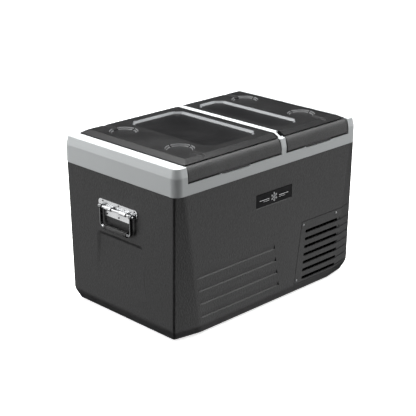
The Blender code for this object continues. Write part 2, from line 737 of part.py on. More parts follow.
# ---------------------------------------------------------------- lid hinges
def hinge_leaf(name, middle, fixed):
    """One leaf of a butt hinge with its knuckles."""
    if fixed:
        spans = ((-KNUCKLE_HALF + 0.0003, KNUCKLE_HALF - 0.0003),)
        y = (HINGE_Y + HINGE_RADIUS - LEAF, HINGE_Y + HINGE_RADIUS)
    else:
        spans = ((-HINGE_HALF, -KNUCKLE_HALF - 0.0003), (KNUCKLE_HALF + 0.0003, HINGE_HALF))
        y = (HINGE_Y - HINGE_RADIUS, HINGE_Y - HINGE_RADIUS + LEAF)
    leaf = block(name, (middle - HINGE_HALF, middle + HINGE_HALF), y,
                 (LEAF_BOTTOM, HINGE_Z - HINGE_RADIUS - 0.0006))
    for low, high in spans:
        join(leaf, block("root", (middle + low, middle + high), y, (HINGE_Z - HINGE_RADIUS - 0.002, HINGE_Z)))
        join(leaf, rod("knuckle", "X", (HINGE_Y, HINGE_Z), HINGE_RADIUS, middle + low, middle + high,
                       sides=16))
    cut(leaf, rod("bore", "X", (HINGE_Y, HINGE_Z), HINGE_BORE, middle - 0.1, middle + 0.1, sides=16))
    leaf.data.materials.append(STEEL)
    return smooth(leaf)


def hinge(side):
    middle = latch_middle(side)
    hinge_leaf("hinge_%s_fixed_leaf" % side, middle, True)
    moving = hinge_leaf("hinge_%s_moving_leaf" % side, middle, False)
    pivot(moving, (middle, HINGE_Y, HINGE_Z))
    pin = rod("hinge_%s_pin" % side, "X", (HINGE_Y, HINGE_Z), HINGE_PIN,
              middle - HINGE_HALF - 0.0005, middle + HINGE_HALF + 0.0005, STEEL, sides=12)
    smooth(pin)


# ---------------------------------------------------------------- end handles
def handle_frame(side):
    """Sign of the end and the X of the handle's pin axis."""
    sign = -1 if side == "left" else 1
    return sign, sign * (WALL_X + HANDLE_PIN_OUT)


def handle_plate(side):
    """Pressed plate with two knuckles rolled round the pin."""
    sign, pin_x = handle_frame(side)
    back = sign * (WALL_X + 0.0003)
    face = sign * (WALL_X + 0.0019)
    upper = [(-0.069, HANDLE_PIN_Z - 0.002), (0.069, HANDLE_PIN_Z - 0.002), (0.071, HANDLE_PIN_Z + 0.006),
             (0.071, 0.301), (0.066, 0.3065), (-0.066, 0.3065), (-0.071, 0.301),
             (-0.071, HANDLE_PIN_Z + 0.006)]
    plate = prism("handle_%s_plate" % side, upper, "X", back, face)
    lower = [(-0.047, 0.2675), (0.047, 0.2675), (0.048, HANDLE_PIN_Z), (-0.048, HANDLE_PIN_Z)]
    join(plate, prism("lower", lower, "X", back, face))
    for centre in (-0.027, 0.027):
        span = (centre - 0.0115, centre + 0.0115)
        web = block("web", sorted((face - sign * 0.0008, pin_x)), span,
                    (HANDLE_PIN_Z - 0.0048, HANDLE_PIN_Z + 0.0048))
        join(web, rod("knuckle", "Y", (pin_x, HANDLE_PIN_Z), 0.0050, span[0], span[1], sides=20))
        join(plate, web)
    cut(plate, rod("bore", "Y", (pin_x, HANDLE_PIN_Z), HANDLE_BORE, -0.1, 0.1, sides=20))
    plate.data.materials.append(CHROME)
    return smooth(plate)


def handle_pin(side):
    _, pin_x = handle_frame(side)
    pin = rod("handle_%s_pin" % side, "Y", (pin_x, HANDLE_PIN_Z), HANDLE_PIN_RADIUS,
              -HANDLE_PIN_HALF, HANDLE_PIN_HALF, CHROME, sides=16)
    return smooth(pin)


def bail_points():
    """Middle line of the bail: down, round a bend, across, round a bend and up."""
    top = HANDLE_PIN_Z - 0.004
    low = HANDLE_PIN_Z - HANDLE_DROP
    points = [(-HANDLE_LEG_Y, top)]
    for sign, order in ((-1, range(0, 7)), (1, range(6, -1, -1))):
        for step in order:
            angle = math.radians(90 * step / 6)
            points.append((sign * (HANDLE_LEG_Y - HANDLE_CORNER + HANDLE_CORNER * math.cos(angle)),
                           low + HANDLE_CORNER - HANDLE_CORNER * math.sin(angle)))
    points.append((HANDLE_LEG_Y, top))
    return points


def handle_bail(side):
    _, pin_x = handle_frame(side)
    points = bail_points()
    rings = []
    for i, (y, z) in enumerate(points):
        before = points[max(i - 1, 0)]
        after = points[min(i + 1, len(points) - 1)]
        heading = Vector((after[0] - before[0], after[1] - before[1])).normalized()
        across = Vector((-heading.y, heading.x))
        ring = []
        for a, b in circle((0.0, 0.0), HANDLE_ROD, 12):
            ring.append((pin_x + b, y + across.x * a, z + across.y * a))
        rings.append(ring)
    bail = loft("handle_%s_bail" % side, rings)
    for sign in (-1, 1):
        eye = rod("eye", "Y", (pin_x, HANDLE_PIN_Z), 0.0056, sign * HANDLE_LEG_Y - 0.0048,
                  sign * HANDLE_LEG_Y + 0.0048, sides=20)
        join(bail, eye)
    cut(bail, rod("bore", "Y", (pin_x, HANDLE_PIN_Z), HANDLE_BORE, -0.1, 0.1, sides=20))
    bail.data.materials.append(CHROME)
    smooth(bail, 40)
    return pivot(bail, (pin_x, 0.0, HANDLE_PIN_Z))


def handle_grip(side):
    _, pin_x = handle_frame(side)
    centre = (pin_x, HANDLE_PIN_Z - HANDLE_DROP)
    grip = rod("handle_%s_grip" % side, "Y", centre, GRIP_RADIUS, -GRIP_HALF, GRIP_HALF, sides=20)
    cut(grip, rod("bore", "Y", centre, HANDLE_ROD + 0.0004, -0.1, 0.1, sides=20))
    grip.data.materials.append(RUBBER)
    smooth(grip)
    return pivot(grip, (pin_x, 0.0, HANDLE_PIN_Z))


# ---------------------------------------------------------------- front panels
def vent_panel():
    """Slotted cover of the machine bay: it lies flush and wraps the corner facet."""
    panel = prism("vent_panel", vent_outline(0.0), "Y", FRONT - 0.01, FRONT + FACET_SIDE)
    keep(panel, body_solid("outside", 0.0, FOOT_HEIGHT, SHELL_TOP))
    cut(panel, body_solid("inside", VENT_THICK, FOOT_HEIGHT, SHELL_TOP))
    for index in range(SLOT_COUNT):
        x0, x1, z = slot_limits(index)
        cut(panel, block("slot", (x0, x1), (FRONT - 0.01, FRONT + 0.03),
                         (z - SLOT_HEIGHT / 2, z + SLOT_HEIGHT / 2)))
    panel.data.materials.append(PLASTIC_DARK)
    return panel


def badge_plate():
    """Plain plate in the pocket above the vent."""
    return block("badge_plate", grown(BADGE_X, -GAP), (FRONT + 0.0012, FRONT + INSET_LOW + 0.0021),
                 grown(BADGE_Z, -GAP), BLACK)


def foot(name, x, y):
    ring = rod(name, "Z", (x, y), 0.013, 0.0, FOOT_HEIGHT - 0.0003, RUBBER, sides=20)
    return smooth(ring)


# ---------------------------------------------------------------- machine bay
COMPRESSOR_AT = (0.155, 0.085)
FAN_AT = (0.205, 0.100)
CONDENSER_X = (0.125, 0.285)
CONDENSER_Y = (-0.182, -0.150)
CONDENSER_Z = (0.022, 0.182)


def compressor():
    """Hermetic pot on four feet, with its terminal cover on the side."""
    x, y = COMPRESSOR_AT
    rings = []
    for radius, z in ((0.040, 0.020), (0.052, 0.028), (0.055, 0.034), (0.055, 0.080), (0.057, 0.080),
                      (0.057, 0.086), (0.055, 0.086), (0.054, 0.115), (0.045, 0.132), (0.024, 0.141)):
        rings.append([(px, py, z) for px, py in circle((x, y), radius, 28)])
    pot = loft("compressor", rings)
    join(pot, block("terminals", (x + 0.045, x + 0.078), (y - 0.022, y + 0.022), (0.055, 0.105)))
    for sx in (-1, 1):
        join(pot, rod("foot", "Z", (x + sx * 0.036, y), 0.011, 0.0135, 0.030, sides=16))
    pot.data.materials.append(BLACK)
    return smooth(pot, 40)


def compressor_bracket():
    x, y = COMPRESSOR_AT
    plate = block("compressor_bracket", (x - 0.068, x + 0.068), (y - 0.055, y + 0.055), (0.0095, 0.0130))
    for sy in (-1, 1):
        join(plate, block("rail", (x - 0.068, x + 0.068), sorted((y + sy * 0.055, y + sy * 0.052)),
                          (0.0100, 0.020)))
    plate.data.materials.append(STEEL)
    return plate


def condenser():
    """Finned block behind the vent, cut into plates between its end plates."""
    core = block("condenser", CONDENSER_X, CONDENSER_Y, CONDENSER_Z)
    fins = 11
    pitch = (CONDENSER_X[1] - CONDENSER_X[0]) / fins
    for i in range(fins):
        x = CONDENSER_X[0] + pitch * (i + 0.2)
        cut(core, block("gap", (x, x + pitch * 0.6), (CONDENSER_Y[0] - 0.01, CONDENSER_Y[0] + 0.020),
                        (CONDENSER_Z[0] + 0.006, CONDENSER_Z[1] - 0.006)))
    core.data.materials.append(ALUMINIUM)
    return core


def fan_shroud():
    x, z = FAN_AT
    half = 0.062
    frame = block("fan_shroud", (x - half, x + half), (-0.146, -0.121), (z - half, z + half))
    cut(frame, rod("mouth", "Y", (x, z), 0.057, -0.2, 0.0, sides=36))
    for reach_x, reach_z in ((0.060, 0.004), (0.004, 0.060)):
        join(frame, block("arm", (x - reach_x, x + reach_x), (-0.1240, -0.1212), (z - reach_z, z + reach_z)))
    join(frame, rod("motor", "Y", (x, z), 0.018, -0.1300, -0.1212, sides=20))
    frame.data.materials.append(BLACK)
    return smooth(frame, 40)


def fan_rotor():
    """Hub with seven pitched blades; it turns about an axis along Y."""
    x, z = FAN_AT
    rotor = rod("fan_rotor", "Y", (0.0, 0.0), 0.019, -0.1440, -0.1306, sides=21)
    blades = 7
    for i in range(blades):
        turn = 2 * math.pi * i / blades
        rings = []
        for radius, chord, pitch in ((0.016, 0.012, 50), (0.036, 0.017, 36), (0.054, 0.019, 26)):
            lean = math.radians(pitch)
            half_t, half_c = 0.0008, chord / 2
            ring = []
            for along, thick in ((-half_c, -half_t), (half_c, -half_t), (half_c, half_t), (-half_c, half_t)):
                tangent = along * math.cos(lean) - thick * math.sin(lean)
                depth = along * math.sin(lean) * 0.6 + thick * math.cos(lean)
                px = radius * math.cos(turn) - tangent * math.sin(turn)
                pz = radius * math.sin(turn) + tangent * math.cos(turn)
                ring.append((px, -0.1373 + depth, pz))
            rings.append(ring)
        join(rotor, loft("blade", rings))
    rotor.data.materials.append(BLACK)
    rotor.data.transform(Matrix.Translation((0.0, 0.1373, 0.0)))
    rotor.location = (x, -0.1373, z)
    return smooth(rotor, 30)


def filter_drier():
    """Copper drier standing beside the compressor."""
    rings = []
    for radius, z in ((0.0035, 0.060), (0.0035, 0.072), (0.011, 0.080), (0.011, 0.150), (0.0035, 0.160),
                      (0.0035, 0.176)):
        rings.append([(px, py, z) for px, py in circle((0.262, 0.02), radius, 16)])
    return smooth(loft("filter_drier", rings, COPPER), 40)


def control_board():
    """Electronics case fixed in the back of the machine bay."""
    case = block("control_board", (0.235, 0.300), (0.070, 0.165), (0.030, 0.130))
    for i in range(6):
        y = 0.080 + i * 0.014
        cut(case, block("rib_gap", (0.298, 0.31), (y, y + 0.008), (0.038, 0.122)))
    case.data.materials.append(ALUMINIUM)
    return case


# ---------------------------------------------------------------- control panel
FLOOR_X = HALF_X - INSET_LOW - FIELD_DEPTH     # floor of the recess on the right end
BEZEL_FACE = FLOOR_X + 0.0040
BUTTON_YS = (-0.050, -0.028, 0.032, 0.052)
BUTTON_NAMES = ("button_power", "button_mode", "button_down", "button_up")


def control_bezel():
    """Frame of the control panel with a box behind the wall."""
    plate_y = (-PANEL_HALF_Y, PANEL_HALF_Y)
    plate_z = (PANEL_Z - PANEL_HALF_Z, PANEL_Z + PANEL_HALF_Z)
    bezel = prism("control_bezel", octagon(plate_y, plate_z, 0.007), "X", FLOOR_X + 0.0004, BEZEL_FACE)
    join(bezel, block("box", (FLOOR_X - 0.016, FLOOR_X + 0.002), (-0.057, 0.057),
                      (PANEL_Z - 0.017, PANEL_Z + 0.017)))
    cut(bezel, block("inside", (FLOOR_X - 0.020, FLOOR_X + 0.0020), (-0.0555, 0.0555),
                     (PANEL_Z - 0.0155, PANEL_Z + 0.0155)))
    for y in BUTTON_YS:
        cut(bezel, rod("hole", "X", (y, PANEL_Z), BUTTON_RADIUS + 0.0004, FLOOR_X - 0.004, BEZEL_FACE + 0.01,
                       sides=20))
    cut(bezel, block("display", (FLOOR_X + 0.0025, BEZEL_FACE + 0.01), (-0.0155, 0.0195),
                     (PANEL_Z - 0.012, PANEL_Z + 0.012)))
    bezel.data.materials.append(BLACK)
    return smooth(bezel, 30)


def display_lens():
    return block("display_lens", (FLOOR_X + 0.0028, BEZEL_FACE + 0.0002), (-0.0151, 0.0191),
                 (PANEL_Z - 0.0116, PANEL_Z + 0.0116), LENS)


def button(name, y):
    rings = []
    for radius, x in ((BUTTON_RADIUS, BEZEL_FACE - 0.0035), (BUTTON_RADIUS, BEZEL_FACE + 0.0010),
                      (BUTTON_RADIUS - 0.0006, BEZEL_FACE + 0.0015)):
        rings.append([(x, py, pz) for py, pz in circle((y, PANEL_Z), radius, 20)])
    cap = loft(name, rings, RUBBER)
    return pivot(smooth(cap, 40), (BEZEL_FACE, y, PANEL_Z))


def inlet(name, span, pins):
    """A power socket: a flange on the recess floor, a body through the wall and contact pins."""
    z = INLET_HOLE_Z
    flange = block(name, (FLOOR_X + 0.0004, FLOOR_X + 0.0030), grown(span, 0.004), grown(z, 0.004))
    join(flange, block("body", (FLOOR_X - 0.018, FLOOR_X + 0.001), grown(span, -GAP), grown(z, -GAP)))
    cut(flange, block("socket", (FLOOR_X - 0.014, FLOOR_X + 0.01), grown(span, -0.0035), grown(z, -0.0035)))
    middle = (span[0] + span[1]) / 2
    height = (z[0] + z[1]) / 2
    for offset in pins:
        join(flange, rod("pin", "X", (middle + offset, height), 0.0018, FLOOR_X - 0.016, FLOOR_X - 0.002,
                         sides=10))
    flange.data.materials.append(BLACK)
    return flange


# ---------------------------------------------------------------- everything
def build():
    for obj in list(bpy.data.objects):
        bpy.data.objects.remove(obj)
    outer_shell()
    collar_frame()
    foam_insulation()
    for side in ("left", "right"):
        liner(side)
        basket(side)
        lid_cover(side)
        lid_trim(side)
        lid_liner(side)
        lid_foam(side)
        lid_gasket(side)
        latch_bar(side)
        latch_pin(side)
        latch_strike(side)
        hinge(side)
        handle_plate(side)
        handle_pin(side)
        handle_bail(side)
        handle_grip(side)
    vent_panel()
    badge_plate()
    for name, sx, sy in (("foot_front_left", -1, -1), ("foot_front_right", 1, -1),
                         ("foot_back_left", -1, 1), ("foot_back_right", 1, 1)):
        foot(name, sx * 0.245, sy * 0.160)
    compressor()
    compressor_bracket()
    condenser()
    fan_shroud()
    fan_rotor()
    filter_drier()
    control_board()
    control_bezel()
    display_lens()
    for name, y in zip(BUTTON_NAMES, BUTTON_YS):
        button(name, y)
    inlet("dc_inlet", INLET_SPANS[0], (-0.004, 0.004))
    inlet("ac_inlet", INLET_SPANS[1], (-0.007, 0.0, 0.007))


build()
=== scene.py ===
"""Looks of the dual-lid compressor cooler fridge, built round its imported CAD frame.

Metres, in the CAD part's frame: +X along the length, front of the fridge towards -Y, +Z up.
"""
import math

import bmesh
import bpy
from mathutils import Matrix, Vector


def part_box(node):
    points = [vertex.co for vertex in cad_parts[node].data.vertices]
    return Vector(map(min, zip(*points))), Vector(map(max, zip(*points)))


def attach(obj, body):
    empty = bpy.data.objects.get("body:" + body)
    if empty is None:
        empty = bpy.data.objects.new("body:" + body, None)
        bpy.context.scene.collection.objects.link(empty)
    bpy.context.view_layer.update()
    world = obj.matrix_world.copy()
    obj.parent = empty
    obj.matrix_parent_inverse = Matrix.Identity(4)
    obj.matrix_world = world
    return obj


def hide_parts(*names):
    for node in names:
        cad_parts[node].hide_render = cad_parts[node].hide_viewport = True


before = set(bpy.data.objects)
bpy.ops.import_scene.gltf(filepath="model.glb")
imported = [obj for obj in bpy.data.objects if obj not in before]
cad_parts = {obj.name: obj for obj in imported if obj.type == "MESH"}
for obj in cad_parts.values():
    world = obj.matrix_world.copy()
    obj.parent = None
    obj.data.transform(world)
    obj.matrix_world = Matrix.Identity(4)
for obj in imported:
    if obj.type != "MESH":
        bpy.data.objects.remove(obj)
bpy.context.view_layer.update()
SIDES = ("left", "right")
SIGN = {"left": -1, "right": 1}


def span(node, axis):
    """Lowest and highest coordinate of a CAD node on one axis."""
    low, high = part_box(node)
    i = "XYZ".index(axis)
    return low[i], high[i]


def spans(node, axes="XYZ"):
    return [span(node, axis) for axis in axes]


def middle(limits):
    return (limits[0] + limits[1]) / 2


def grown(limits, by):
    """A pair of limits moved apart by the same amount."""
    return limits[0] - by, limits[1] + by


def around(centre, half):
    """Limits at the same distance on both sides of a centre."""
    return centre - half, centre + half


# ---------------------------------------------------------------- sizes
COLLAR_BOTTOM, PLATEAU = span("collar_frame", "Z")
HALF_X = span("collar_frame", "X")[1]
FRONT, HALF_Y = span("collar_frame", "Y")
FOOT_HEIGHT, SHELL_TOP = span("outer_shell", "Z")
GAP = 0.0004
WALL = 0.004

# body walls: how far each stands in from the collar, and the corner facets
CHAMFER_TOP = 0.030
CHAMFER_BLEND = 0.007
CHAMFER_RUN = 0.0112
INSET_TOP = 0.0005
INSET_LOW = 0.0014
INSET_BACK_LOW = 0.0085
FACET_SIDE_TOP = 0.0085
FACET_SIDE = 0.0140
FACET_SIDE_BACK = 0.0120
FACET_TOP = 0.028
FACET_LOW = 0.0736
CORNER_REACH = 0.0055       # where the rounding of a vertical edge starts
CORNER_STEPS = 5

# wedge-shaped recess of the left end and flat one of the right end
FIELD_Z = (0.075, 0.2205)
FIELD_HALF = (0.095, 0.084)
FIELD_DEPTH = {"left": 0.007, "right": 0.005}
FIELD_BACKING = {"left": 0.0105, "right": 0.0090}       # depth at which the wall's back stands
FIELD_SOFT_TOP = 0.011
FIELD_SOFT_SIDE = (0.0055, 0.0260)      # towards the front and towards the back
LIP_CLEAR = 0.00018         # how far a cutter's edge starts outside the wall

# long grooves of the front
GROOVE_COUNT = 4
GROOVE_TOP = 0.168
GROOVE_PITCH = 0.0348
GROOVE_HEIGHT = 0.016
GROOVE_DEPTH = 0.003
GROOVE_LIP = 0.0030
GROOVE_RIGHT = 0.0115
GROOVE_LEAN = 0.0058
GROOVE_LEFT_MARGIN = 0.002
GROOVE_FADE = 0.014         # how far the left end takes to reach full depth
GROOVE_END = 0.002

# vent panel
VENT_Z = span("vent_panel", "Z")
VENT_LEFT = (span("vent_panel", "X")[0], 0.116)
VENT_THICK = 0.0026
SLOT_COUNT = 7
SLOT_TOP = 0.168
SLOT_PITCH = 0.0212
SLOT_HEIGHT = 0.0075
SLOT_LEFT = 0.1305
SLOT_LEAN = 0.0017

# collar
COLLAR_SHOULDER = 0.4155
BEVEL_FOOT = (FRONT + 0.0100, 0.4356)   # where a latch bar and the divider reach the lids' bevel
RIM_TOP = 0.437
RIM_INSET = 0.005
COLLAR_RADIUS = 0.022
SEAT = 0.401
BAY_OUTER = 0.288
BAY_BACK = 0.1844
DIVIDER = (0.0295, 0.0526)
DIVIDER_FRONT = 0.047
DIVIDER_NECK = 0.040        # right side of the divider where it slopes down to its front
DIVIDER_EDGE = 0.0038       # width of the dark strip along its left side
SCOOP_HALF = 0.052
SCOOP_FLOOR = 0.3945
EDGE_LOW = 0.4360
# The strip on this ledge is painted shade: a dark rubber strip that stands for the shadow gap under the latch
# bars.
LEDGE = 0.3974              # lowered front edge of the seat, which carries a rubber strip
LEDGE_BACK = FRONT + 0.0095
LEDGE_SPANS = {"left": (-BAY_OUTER, DIVIDER[0]), "right": (DIVIDER_FRONT, BAY_OUTER)}
TUB_RADIUS = 0.016

# lids
LID_SPANS = {side: span("lid_%s_cover" % side, "X") for side in SIDES}
LID_MIDDLE = {side: middle(LID_SPANS[side]) for side in SIDES}
LID_BOTTOM = span("lid_left_cover", "Z")[0]
LID_BACK = span("lid_left_cover", "Y")[1]
LID_FRONT_WALL = -0.1814
LIP_FRONT = -0.191
LIP_BOTTOM = 0.4386
PLATEAU_FRONT = -0.175
PLATEAU_BACK = 0.170
LID_BEVEL = 0.0162
LID_WALL = 0.0025
CAVITY_EDGE = RIM_TOP + 0.0005          # height of the cavity's upper edge, before the wall's thickness
LATCH_ENDS = {side: span("lid_%s_latch" % side, "X") for side in SIDES}
LATCH_Y = middle(span("lid_left_latch_pin", "Y"))
LATCH_Z = middle(span("lid_left_latch_pin", "Z"))
LATCH_BARREL = 0.0056
LATCH_BORE = 0.0018
EAR_OFFSET = 0.085
EAR_HALF = 0.005
EAR_RADIUS = 0.0032
RECESS_X = {side: grown(span("lid_%s_trim" % side, "X"), GAP) for side in SIDES}
RECESS_Y = grown(span("lid_left_trim", "Y"), GAP)
RECESS_DEPTH = 0.0058
RECESS_CHAMFER = 0.022
TRIM_MITRE = 1.1            # how fast the corner cuts shrink as the band slopes in
TRIM_RUN = 0.0078           # how far the silver band slopes in
CUP_X = 0.217
CUP_YS = (-0.103, 0.098)
CUP_RADIUS = 0.036
CUP_DEPTH = 0.006
CUP_LEDGE = 0.0030          # depth of the step in a cup's wall
CUP_STEP = 0.0044
CUP_NOTCH = 0.0024
CHANNEL_WIDTH = 0.016
CHANNEL_DEPTH = 0.0044
HINGE_NOTCH = 0.180
HINGE_HALF = 0.0915

# tubs
TUB_FLANGE = 0.008
TUBS = {side: (grown(span("liner_%s" % side, "X"), -TUB_FLANGE),
               grown(span("liner_%s" % side, "Y"), -TUB_FLANGE),
               span("liner_%s" % side, "Z")) for side in SIDES}
TUB_WALL = 0.002

# end handles
HANDLE_Z = middle(span("handle_left_pin", "Z"))
HANDLE_X = abs(middle(span("handle_left_pin", "X")))
HANDLE_WALL = abs(span("handle_left_plate", "X")[1]) - 0.0003
HANDLE_LEG_Y = 0.055
HANDLE_ROD = 0.0044
HANDLE_BORE = 0.0034
GRIP_Z = middle(span("handle_left_grip", "Z"))
GRIP_HALF = span("handle_left_grip", "Y")[1]
GRIP_RADIUS = (span("handle_left_grip", "X")[1] - span("handle_left_grip", "X")[0]) / 2

# control panel on the right end
PANEL_Z = middle(span("control_bezel", "Z"))
PANEL_FACE = span("control_bezel", "X")[1]
PANEL_FLOOR = HALF_X - INSET_LOW - FIELD_DEPTH["right"]
INLET_FLANGE = 0.004
BUTTONS = {kind: "button_" + kind for kind in ("power", "mode", "down", "up")}


# ---------------------------------------------------------------- mesh tools
def to_object(name, bm):
    """Turn a bmesh into an object with its faces pointing out."""
    bmesh.ops.recalc_face_normals(bm, faces=bm.faces)
    mesh = bpy.data.meshes.new(name)
    bm.to_mesh(mesh)
    bm.free()
    obj = bpy.data.objects.new(name, mesh)
    bpy.context.scene.collection.objects.link(obj)
    return obj


def add_rings(bm, rings, closed=False):
    """Skin rings of points in a bmesh; a closed skin joins its last ring to its first."""
    loops = [[bm.verts.new(point) for point in ring] for ring in rings]
    pairs = list(zip(loops, loops[1:]))
    if closed:
        pairs.append((loops[-1], loops[0]))
    count = len(loops[0])
    for low, high in pairs:
        for i in range(count):
            j = (i + 1) % count
            bm.faces.new((low[i], low[j], high[j], high[i]))
    if not closed:
        bm.faces.new(loops[0])
        bm.faces.new(loops[-1])


def loft(name, rings, closed=False):
    bm = bmesh.new()
    add_rings(bm, rings, closed)
    return to_object(name, bm)


def lifted(pairs, axis, along):
    """Points of a flat outline, given in the two other axes, set at one place along an axis."""
    points = []
    for pair in pairs:
        point = list(pair)
        point.insert("XYZ".index(axis), along)
        points.append(tuple(point))
    return points


def prism(name, outline, axis, start, end):
    return loft(name, [lifted(outline, axis, start), lifted(outline, axis, end)])


def rectangle(a, b):
    return [(a[0], b[0]), (a[1], b[0]), (a[1], b[1]), (a[0], b[1])]


def mirrored(right):
    """A closed outline that is even about its middle, from the points of its right half, bottom to top."""
    foot = [(-right[0][0], right[0][1])]
    return foot + right + [(-a, b) for a, b in reversed(right[1:])]


def block(name, x, y, z):
    return prism(name, rectangle(x, y), "Z", z[0], z[1])


def octagon(a, b, corner):
    """A rectangle with its four corners cut at 45 degrees."""
    return [(a[0] + corner, b[0]), (a[1] - corner, b[0]), (a[1], b[0] + corner), (a[1], b[1] - corner),
            (a[1] - corner, b[1]), (a[0] + corner, b[1]), (a[0], b[1] - corner), (a[0], b[0] + corner)]


def circle(centre, radius, sides):
    turn = 2 * math.pi / sides
    return [(centre[0] + radius * math.cos(i * turn), centre[1] + radius * math.sin(i * turn))
            for i in range(sides)]


def softened(outline, reach, steps=4, closed=True):
    """A flat outline with each corner replaced by a short curve that starts a reach away."""
    points = [Vector(p) for p in outline]
    soft = []
    for i, corner in enumerate(points):
        if not closed and i in (0, len(points) - 1):
            soft.append(tuple(corner))
            continue
        before = points[i - 1] - corner
        after = points[(i + 1) % len(points)] - corner
        start = corner + before.normalized() * min(reach, 0.45 * before.length)
        end = corner + after.normalized() * min(reach, 0.45 * after.length)
        for step in range(steps + 1):
            t = step / steps
            soft.append(tuple(start * (1 - t) ** 2 + corner * 2 * t * (1 - t) + end * t ** 2))
    return soft


def soft_block(name, axis, a, b, levels, reach, steps=4):
    """A rectangle with soft corners, skinned through levels of (place along the axis, growth)."""
    return loft(name, [lifted(softened(rectangle(grown(a, grow), grown(b, grow)), reach, steps), axis, along)
                       for along, grow in levels])


def flat_bar(start, end, half):
    """Outline of a straight bar between two flat points."""
    a, b = Vector(start), Vector(end)
    along = (b - a).normalized()
    across = Vector((-along.y, along.x)) * half
    return [tuple(a - across), tuple(b - across), tuple(b + across), tuple(a + across)]


def spline(points, steps):
    """A smooth open line through points."""
    line = [Vector(p) for p in points]
    line = [2 * line[0] - line[1]] + line + [2 * line[-1] - line[-2]]
    smooth = []
    for a, b, c, d in zip(line, line[1:], line[2:], line[3:]):
        for step in range(steps):
            t = step / steps
            smooth.append(0.5 * (2 * b + (c - a) * t + (2 * a - 5 * b + 4 * c - d) * t ** 2
                                 + (3 * b - a - 3 * c + d) * t ** 3))
    smooth.append(line[-2])
    return smooth


def turned(name, axis, centre, profile, sides=32, closed=False):
    """A turned piece: profile holds (radius, place along the axis) from one end to the other."""
    rings = [lifted(circle(centre, radius, sides), axis, along) for radius, along in profile]
    return loft(name, rings, closed)


def rod(name, axis, centre, radius, start, end, sides=32, edge=0.0):
    """A round bar, with its end edges chamfered by an edge."""
    sign = 1 if end > start else -1
    profile = [(radius, start), (radius, end)]
    if edge:
        profile = [(radius - edge, start), (radius, start + sign * edge),
                   (radius, end - sign * edge), (radius - edge, end)]
    return turned(name, axis, centre, profile, sides)


def add_tube(bm, path, radius, sides, closed=False):
    """Sweep a circle along a path of points."""
    path = [Vector(p) for p in path]
    count = len(path)
    rings = []
    normal = None
    for i, point in enumerate(path):
        if closed:
            heading = (path[(i + 1) % count] - path[i - 1]).normalized()
        else:
            heading = (path[min(i + 1, count - 1)] - path[max(i - 1, 0)]).normalized()
        if normal is None:
            guide = Vector((0, 0, 1)) if abs(heading.z) < 0.9 else Vector((1, 0, 0))
            normal = guide.cross(heading).normalized()
        normal = (normal - heading * normal.dot(heading)).normalized()
        side = heading.cross(normal)
        rings.append([point + radius * (normal * math.cos(a) + side * math.sin(a))
                      for a in [2 * math.pi * k / sides for k in range(sides)]])
    add_rings(bm, rings, closed)


def tube(name, path, radius, sides):
    bm = bmesh.new()
    add_tube(bm, path, radius, sides)
    return to_object(name, bm)


def apply_modifiers(obj):
    """Turn what the modifiers make into the object's own mesh."""
    graph = bpy.context.evaluated_depsgraph_get()
    mesh = bpy.data.meshes.new_from_object(obj.evaluated_get(graph))
    old = obj.data
    obj.modifiers.clear()
    obj.data = mesh
    bpy.data.meshes.remove(old)


def drop(obj):
    """Remove an object and its mesh."""
    mesh = obj.data
    bpy.data.objects.remove(obj)
    bpy.data.meshes.remove(mesh)


def boolean(target, tools, operation):
    for tool in tools:
        modifier = target.modifiers.new("Boolean", "BOOLEAN")
        modifier.operation = operation
        modifier.solver = "EXACT"
        modifier.object = tool
        apply_modifiers(target)
        drop(tool)
    return target


def cut(target, *tools):
    return boolean(target, tools, "DIFFERENCE")


def join(target, *tools):
    return boolean(target, tools, "UNION")


def keep(target, tool):
    return boolean(target, (tool,), "INTERSECT")


def bevel(obj, width, segments=2, angle=35.0):
    """Round the edges sharper than an angle."""
    modifier = obj.modifiers.new("Bevel", "BEVEL")
    modifier.width = width
    modifier.segments = segments
    modifier.limit_method = "ANGLE"
    modifier.angle_limit = math.radians(angle)
    modifier.miter_outer = "MITER_ARC"


def place(obj, body, material, *stands_for, angle=32.0):
    """Shade, paint and attach a finished piece, and hide the CAD nodes that it stands for."""
    obj.data.materials.clear()
    obj.data.materials.append(material)
    obj.data.polygons.foreach_set("material_index", [0] * len(obj.data.polygons))
    obj.data.shade_smooth()
    obj.data.set_sharp_from_angle(angle=math.radians(angle))
    weigh = obj.modifiers.new("Weighted", "WEIGHTED_NORMAL")
    weigh.keep_sharp = True
    weigh.weight = 60
    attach(obj, body)
    if stands_for:
        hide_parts(*stands_for)


# ---------------------------------------------------------------- materials
def node(tree, kind, inputs=None, **settings):
    """Add a shader node with its settings; an input is a value or the output that feeds it."""
    made = tree.nodes.new(kind)
    for key, value in settings.items():
        setattr(made, key, value)
    for key, value in (inputs or {}).items():
        if isinstance(value, bpy.types.NodeSocket):
            tree.links.new(value, made.inputs[key])
        else:
            made.inputs[key].default_value = value
    return made


def principled(name, **values):
    """A new material; each value goes to the shader's socket of that name."""
    mat = bpy.data.materials.new(name)
    mat.use_nodes = True
    tree = mat.node_tree
    shader = tree.nodes["Principled BSDF"]
    for key, value in values.items():
        shader.inputs[key.replace("_", " ")].default_value = value
    return mat, tree, shader


def coordinates(tree, stretch=(1.0, 1.0, 1.0)):
    """The piece's own coordinates, stretched along an axis where a texture has a direction."""
    source = node(tree, "ShaderNodeTexCoord").outputs["Object"]
    return node(tree, "ShaderNodeMapping", {"Vector": source, "Scale": stretch}).outputs["Vector"]


def noise(tree, vector, scale, detail=3.0, roughness=0.5):
    inputs = {"Vector": vector, "Scale": scale, "Detail": detail, "Roughness": roughness}
    return node(tree, "ShaderNodeTexNoise", inputs).outputs["Fac"]


def ranged(tree, value, low, high, source=(0.3, 0.7)):
    """A texture's value mapped between two numbers."""
    inputs = {"Value": value, "From Min": source[0], "From Max": source[1], "To Min": low, "To Max": high}
    return node(tree, "ShaderNodeMapRange", inputs).outputs["Result"]


